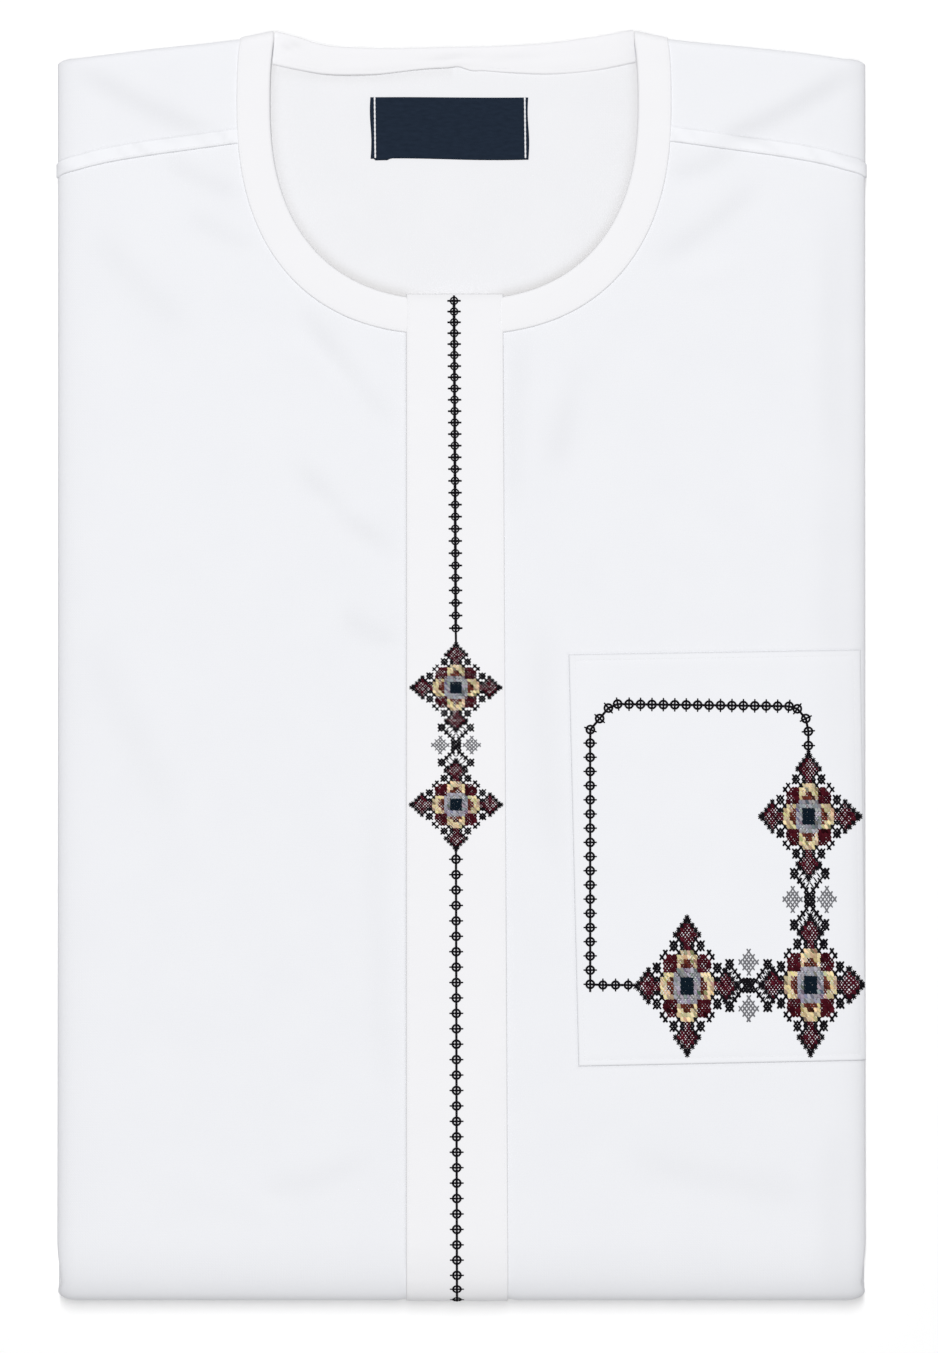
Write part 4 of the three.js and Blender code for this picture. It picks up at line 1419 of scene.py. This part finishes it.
# %% Stars and links
PLACKET_X = -2.2


def star(centre, cell, seed, ground):
    """The crosses of one star, and the teeth of its outline."""
    net = crosses(STAR_CELLS, STAR_LETTERS, centre, cell, seed, ground)
    return [net, teeth(STAR_CELLS, STAR_LETTERS, centre, cell, ground)]


def link(centre, cell, seed, ground, sideways=False):
    """The crosses of one link, and the ties between its arms and the stars."""
    middle = np.array([(x * p, y * q) for x, y in TIES for p in (-1, 1) for q in (-1, 1)])
    slant = np.sign(middle) * (-0.55, 0.55)
    starts, ends = middle - slant, middle + slant
    cells = LINK_CELLS
    if sideways:
        cells, starts, ends = cells[:, ::-1], starts[:, ::-1], ends[:, ::-1]
    size, place = np.array(cell), np.array(centre)
    thread = 0.34 * size.mean()
    starts, ends = place + starts * size, place + ends * size
    ties = spindles(starts, ends, thread, THREAD_RISE, 0.1, ground)
    return [crosses(cells, LINK_LETTERS, centre, cell, seed, ground), (ties, ["K"] * len(middle))]


def placket_motifs():
    """Two stars and a link: their centres, the size of a cell in mm, and a seed each."""
    work = star((PLACKET_X, -9.8), (1.16, 1.14), 11, placket_lift)
    work += star((PLACKET_X, -56.6), (1.18, 1.17), 12, placket_lift)
    work += link((PLACKET_X, -32.8), (1.26, 1.27), 13, placket_lift)
    return stitch_mesh("embroidery_placket_stars", work)


def pocket_motifs():
    """Three stars round the pocket's corner, with a link down and a link across."""
    work = star((138.7, -61.3), (1.26, 1.65), 21, pocket_lift)
    work += star((139.4, -128.6), (1.31, 1.81), 22, pocket_lift)
    work += star((90.1, -129.0), (1.34, 1.78), 23, pocket_lift)
    work += link((139.1, -94.4), (1.36, 1.86), 24, pocket_lift)
    work += link((114.7, -128.8), (1.38, 1.85), 25, pocket_lift, sideways=True)
    return stitch_mesh("embroidery_pocket_stars", work)


placket_motifs()
pocket_motifs()

# %% [markdown]
# ## The eyelet chain
#
# A line of backstitch runs through a row of small rings, each with a bar across it. The rings are
# short stitches too, laid round a circle.


# %% Rings and bars along a line
def backstitch(starts, ends, ground, thread=0.92, arch=0.10, taper=0.06):
    """Black stitches between pairs of points."""
    starts, ends = np.array(starts, float), np.array(ends, float)
    return spindles(starts, ends, thread, 0.34, arch, ground, taper), ["K"] * len(starts)


SECTORS = 12  # short stitches round a ring
# Radius of the rings, half length of the bars, and the threads' widths in bars and in rings.
UPPER_CHAIN = (1.45, 2.70, 1.05, 0.62)
LOWER_CHAIN = (1.58, 2.80, 0.86, 0.84)
POCKET_CHAIN = (1.60, 2.70, 0.86, 0.85)
FOOT_CHAIN = (1.50, 2.60, 0.86, 0.85)


def chain(points, ground, radius, arm, bar_thread, ring_thread):
    """Rings with a bar across each, on a line of backstitches from point to point."""
    step = np.gradient(points, axis=0)
    aside = zipped(-step[:, 1], step[:, 0]) / np.hypot(*step.T)[:, None] * arm
    turn = np.arange(SECTORS) * 2 * math.pi / SECTORS
    ring = zipped(np.cos(turn), np.sin(turn)) * radius
    after = np.roll(ring, -1, axis=0)
    over = 0.12 * (after - ring)  # a ring's stitches overlap a little
    starts, ends = ((points[:, None] + c).reshape(-1, 2) for c in (ring - over, after + over))
    return [
        backstitch(starts, ends, ground, ring_thread, 0.05),
        backstitch(points - aside, points + aside, ground, bar_thread, 0.05, 0.36),
        backstitch(points[:-1], points[1:], ground, 1.1 * bar_thread),
    ]


def line(x0, y0, x1, y1, count=40):
    """Evenly spaced points from one end to the other."""
    return np.linspace((x0, y0), (x1, y1), count)


def placket_chain():
    """The chain down the placket: close set at the neck, wider towards the fold."""
    upper_y = 144.8 - np.cumsum(np.linspace(4.25, 5.1, 30)) + 4.25
    upper_y = upper_y[upper_y > 9.6]
    lower_y = np.arange(-78.4, -262.0, -6.15)
    upper = zipped(np.linspace(-3.0, -2.3, upper_y.size), upper_y)
    lower = zipped(np.linspace(-2.2, -1.8, lower_y.size), lower_y)
    ends = [(-3.0, 147.0), upper[-1], (-2.2, -74.2), lower[-1]]
    stops = [upper[0], (-2.2, 7.6), lower[0], lower[-1] + (0, -6)]
    work = chain(upper, placket_lift, *UPPER_CHAIN)
    work += chain(lower, placket_lift, *LOWER_CHAIN)
    work.append(backstitch(ends, stops, placket_lift))
    return stitch_mesh("embroidery_placket_chain", work)


def pocket_chain():
    """Up the pocket's left side, round two slanting corners, and down to the first star."""
    left = line(51.4, -128.3, 51.4, -32.0, 18)
    corner_left = [(51.5, -26.6), (55.2, -22.2), (58.7, -18.0)]
    top = line(62.4, -16.4, 130.9, -17.3, 16)
    right = [(134.2, -18.3), (137.6, -22.2), (138.6, -27.3), (138.6, -33.0)]
    path = np.concatenate([left, corner_left, top, right])
    foot = line(51.4, -128.6, 66.6, -128.6, 4)[1:]
    starts = [(51.4, -128.3), (66.6, -128.6), (138.6, -33.0), (51.4, -128.3)]
    stops = [(56.4, -128.6), (69.6, -128.8), (138.7, -37.0), (51.4, -131.4)]
    work = chain(path, pocket_lift, *POCKET_CHAIN) + chain(foot, pocket_lift, *FOOT_CHAIN)
    work.append(backstitch(starts, stops, pocket_lift))
    return stitch_mesh("embroidery_pocket_chain", work)


placket_chain()
pocket_chain()

# %% [markdown]
# ## Topstitching
#
# White thread on white cloth shows as rows of small raised grains. Each line of stitching is a path
# walked in steps of one stitch, with a gap where the thread goes down.


# %% Rows of stitches
def stitch_row(path, ground, stitch=2.1, gap=0.35, thread=0.20, rise=0.06):
    """Stitches along a polyline of flat points, as spindles."""
    run = np.hypot(*np.diff(path, axis=0).T)
    walk = np.concatenate([[0], np.cumsum(run)])
    starts = np.arange(0.4, walk[-1] - stitch, stitch + gap)
    first, last = (
        zipped(*(np.interp(s, walk, axis) for axis in path.T))
        for s in (starts, starts + stitch)
    )
    return spindles(first, last, thread, rise, 0.01, ground), ["W"] * len(starts)


def band_lift(x, y):
    """The neck band's face along its stitches."""
    return 0.76 + relief(x, y)


def topstitching():
    rows = []
    y = spaced(PLACKET_TOP - 1.2, (FOLD_START - FOLD_LENGTH, 160))
    rows.append(stitch_row(zipped(PLACKET_LEFT + PLACKET_INSET, y), placket_lift))
    rows.append(stitch_row(zipped(placket_right(y) - PLACKET_INSET, y), placket_lift))
    side, foot = POCKET_INSET / POCKET_WIDTH, 1 - POCKET_INSET / POCKET_DEPTH
    corners = [(side, 0.004), (side, foot), (1 - side, foot), (1 - side, 0.004)]
    places = [pocket_point(s, t) for s, t in corners]
    path = np.concatenate([line(*a, *b) for a, b in zip(places[:-1], places[1:])])
    rows.append(stitch_row(path, pocket_lift))
    opening = [pocket_point(s, 0.9 * (1 - foot)) for s in (side, 1 - side)]
    rows.append(stitch_row(line(*opening[0], *opening[1]), pocket_lift))
    for side in (-1, 1):
        x_band, y_band = neck_stations(side, np.array([0.915]))
        rows.append(stitch_row(zipped(x_band, y_band)[:-3, 0], band_lift))
        x = side * np.linspace(SEAM_FROM + 5, SIDE_START + 2, 60)
        rows += [stitch_row(zipped(x, seam_y(x) + up), yoke_lift) for up in (WELT_WIDTH, 1.1)]
    return stitch_mesh("topstitching", rows)


topstitching()


# %% Stitches inside the neck
def on_label(x, y):
    """The label's face, as a lift over the front's outside."""
    u, v = (x - LABEL["left"]) / LABEL_WIDTH, (y - LABEL["low"]) / LABEL_DEPTH
    return back_relief(x, y) - back_depth(x, y) + label_lift(u, v)


def on_back_band(x, y):
    """The back band's face along its stitches, as a lift over the front's outside."""
    return BACK_DEPTH - back_depth(x, y) - 0.84


def inner_stitches():
    """A line of white thread down each end of the label, and one along the back band."""
    low, high = LABEL["low"] + 0.1, LABEL["high"] + 0.4
    left, right = LABEL["left"], LABEL["right"]
    ends = (line(left + 1.9, low, left + 1.6, high), line(right - 1.2, low, right - 1.5, high))
    rows = [stitch_row(end, on_label, 1.7, 0.06, 0.70, 0.34) for end in ends]
    x = np.linspace(-72, 66, 120)
    rows.append(stitch_row(zipped(x, through(BACK_X, BACK_LOW, x) + 1.6), on_back_band))
    return stitch_mesh("stitches_inside_neck", rows)


inner_stitches()

# %% [markdown]
# ## What the cloth was cut to
#
# Each piece of cloth has the size of its flat pattern printed. The UV map holds that pattern, so its
# area comes from there: half the sum over the quads, because a panel has a face and a back. A hidden
# layer is printed as the strip that was modelled.


def pattern_area(piece):
    """Square metres of flat cloth: half of the quads' areas in the UV map, by the shoelace rule."""
    layer = piece.data.uv_layers["pattern"]
    corners = np.empty(len(layer.data) * 2, np.float32)
    layer.data.foreach_get("uv", corners)
    u, v = corners.reshape(-1, 4, 2).transpose(2, 0, 1)
    after_u, after_v = np.roll(u, -1, axis=1), np.roll(v, -1, axis=1)
    return float(np.abs((u * after_v - after_u * v).sum(axis=1)).sum() / 4)


def declare(piece, width, length):
    """Prints one sheet: width and length are the rectangle that it was cut from, in metres."""
    area = min(pattern_area(piece), width * length)
    print(piece.name, "cut from", round(width, 4), "x", round(length, 4), "area", round(area, 5))


FRONT_WIDTH = 2 * (SIDE_START + turn_length(0.0)) * MM
PANEL_LENGTH = (SEAM_Y - float(underside(HEM_Y))) * MM
STRIP_LENGTH = (PLACKET_TOP - float(underside(HEM_Y))) * MM
declare(front, FRONT_WIDTH, PANEL_LENGTH)
for half in yokes:
    declare(half, 0.095, 0.062)
declare(back, 0.164, 0.116)
for band in bands:
    declare(band, 0.0135, 0.185)
declare(band_back, 0.1444, 0.0172)
declare(placket_piece, 0.0409, STRIP_LENGTH)
declare(pocket_piece, 0.1160, 0.1640)
declare(label_piece, 0.0635, 0.0255)
for layer, (_, x_from, x_to, y_back, y_edge, *_) in zip(layers[1:], LAYERS):
    declare(layer, (x_to - x_from) * MM, (y_edge - y_back) * MM)

# %% [markdown]
# ## The table
#
# A plain white table under the garment, bright enough to leave no horizon.


# %% Floor
def table_top():
    mesh = bpy.data.meshes.new("table")
    reach = 3.0
    corners = [(-reach, -reach, 0), (reach, -reach, 0), (reach, reach, 0), (-reach, reach, 0)]
    mesh.from_pydata(corners, [], [(0, 1, 2, 3)])
    finish = Finish("white_table", roughness=0.9)
    finish.set("Base Color", (0.94, 0.94, 0.94, 1))
    mesh.materials.append(finish.material)
    table = add("table", mesh)


table_top()
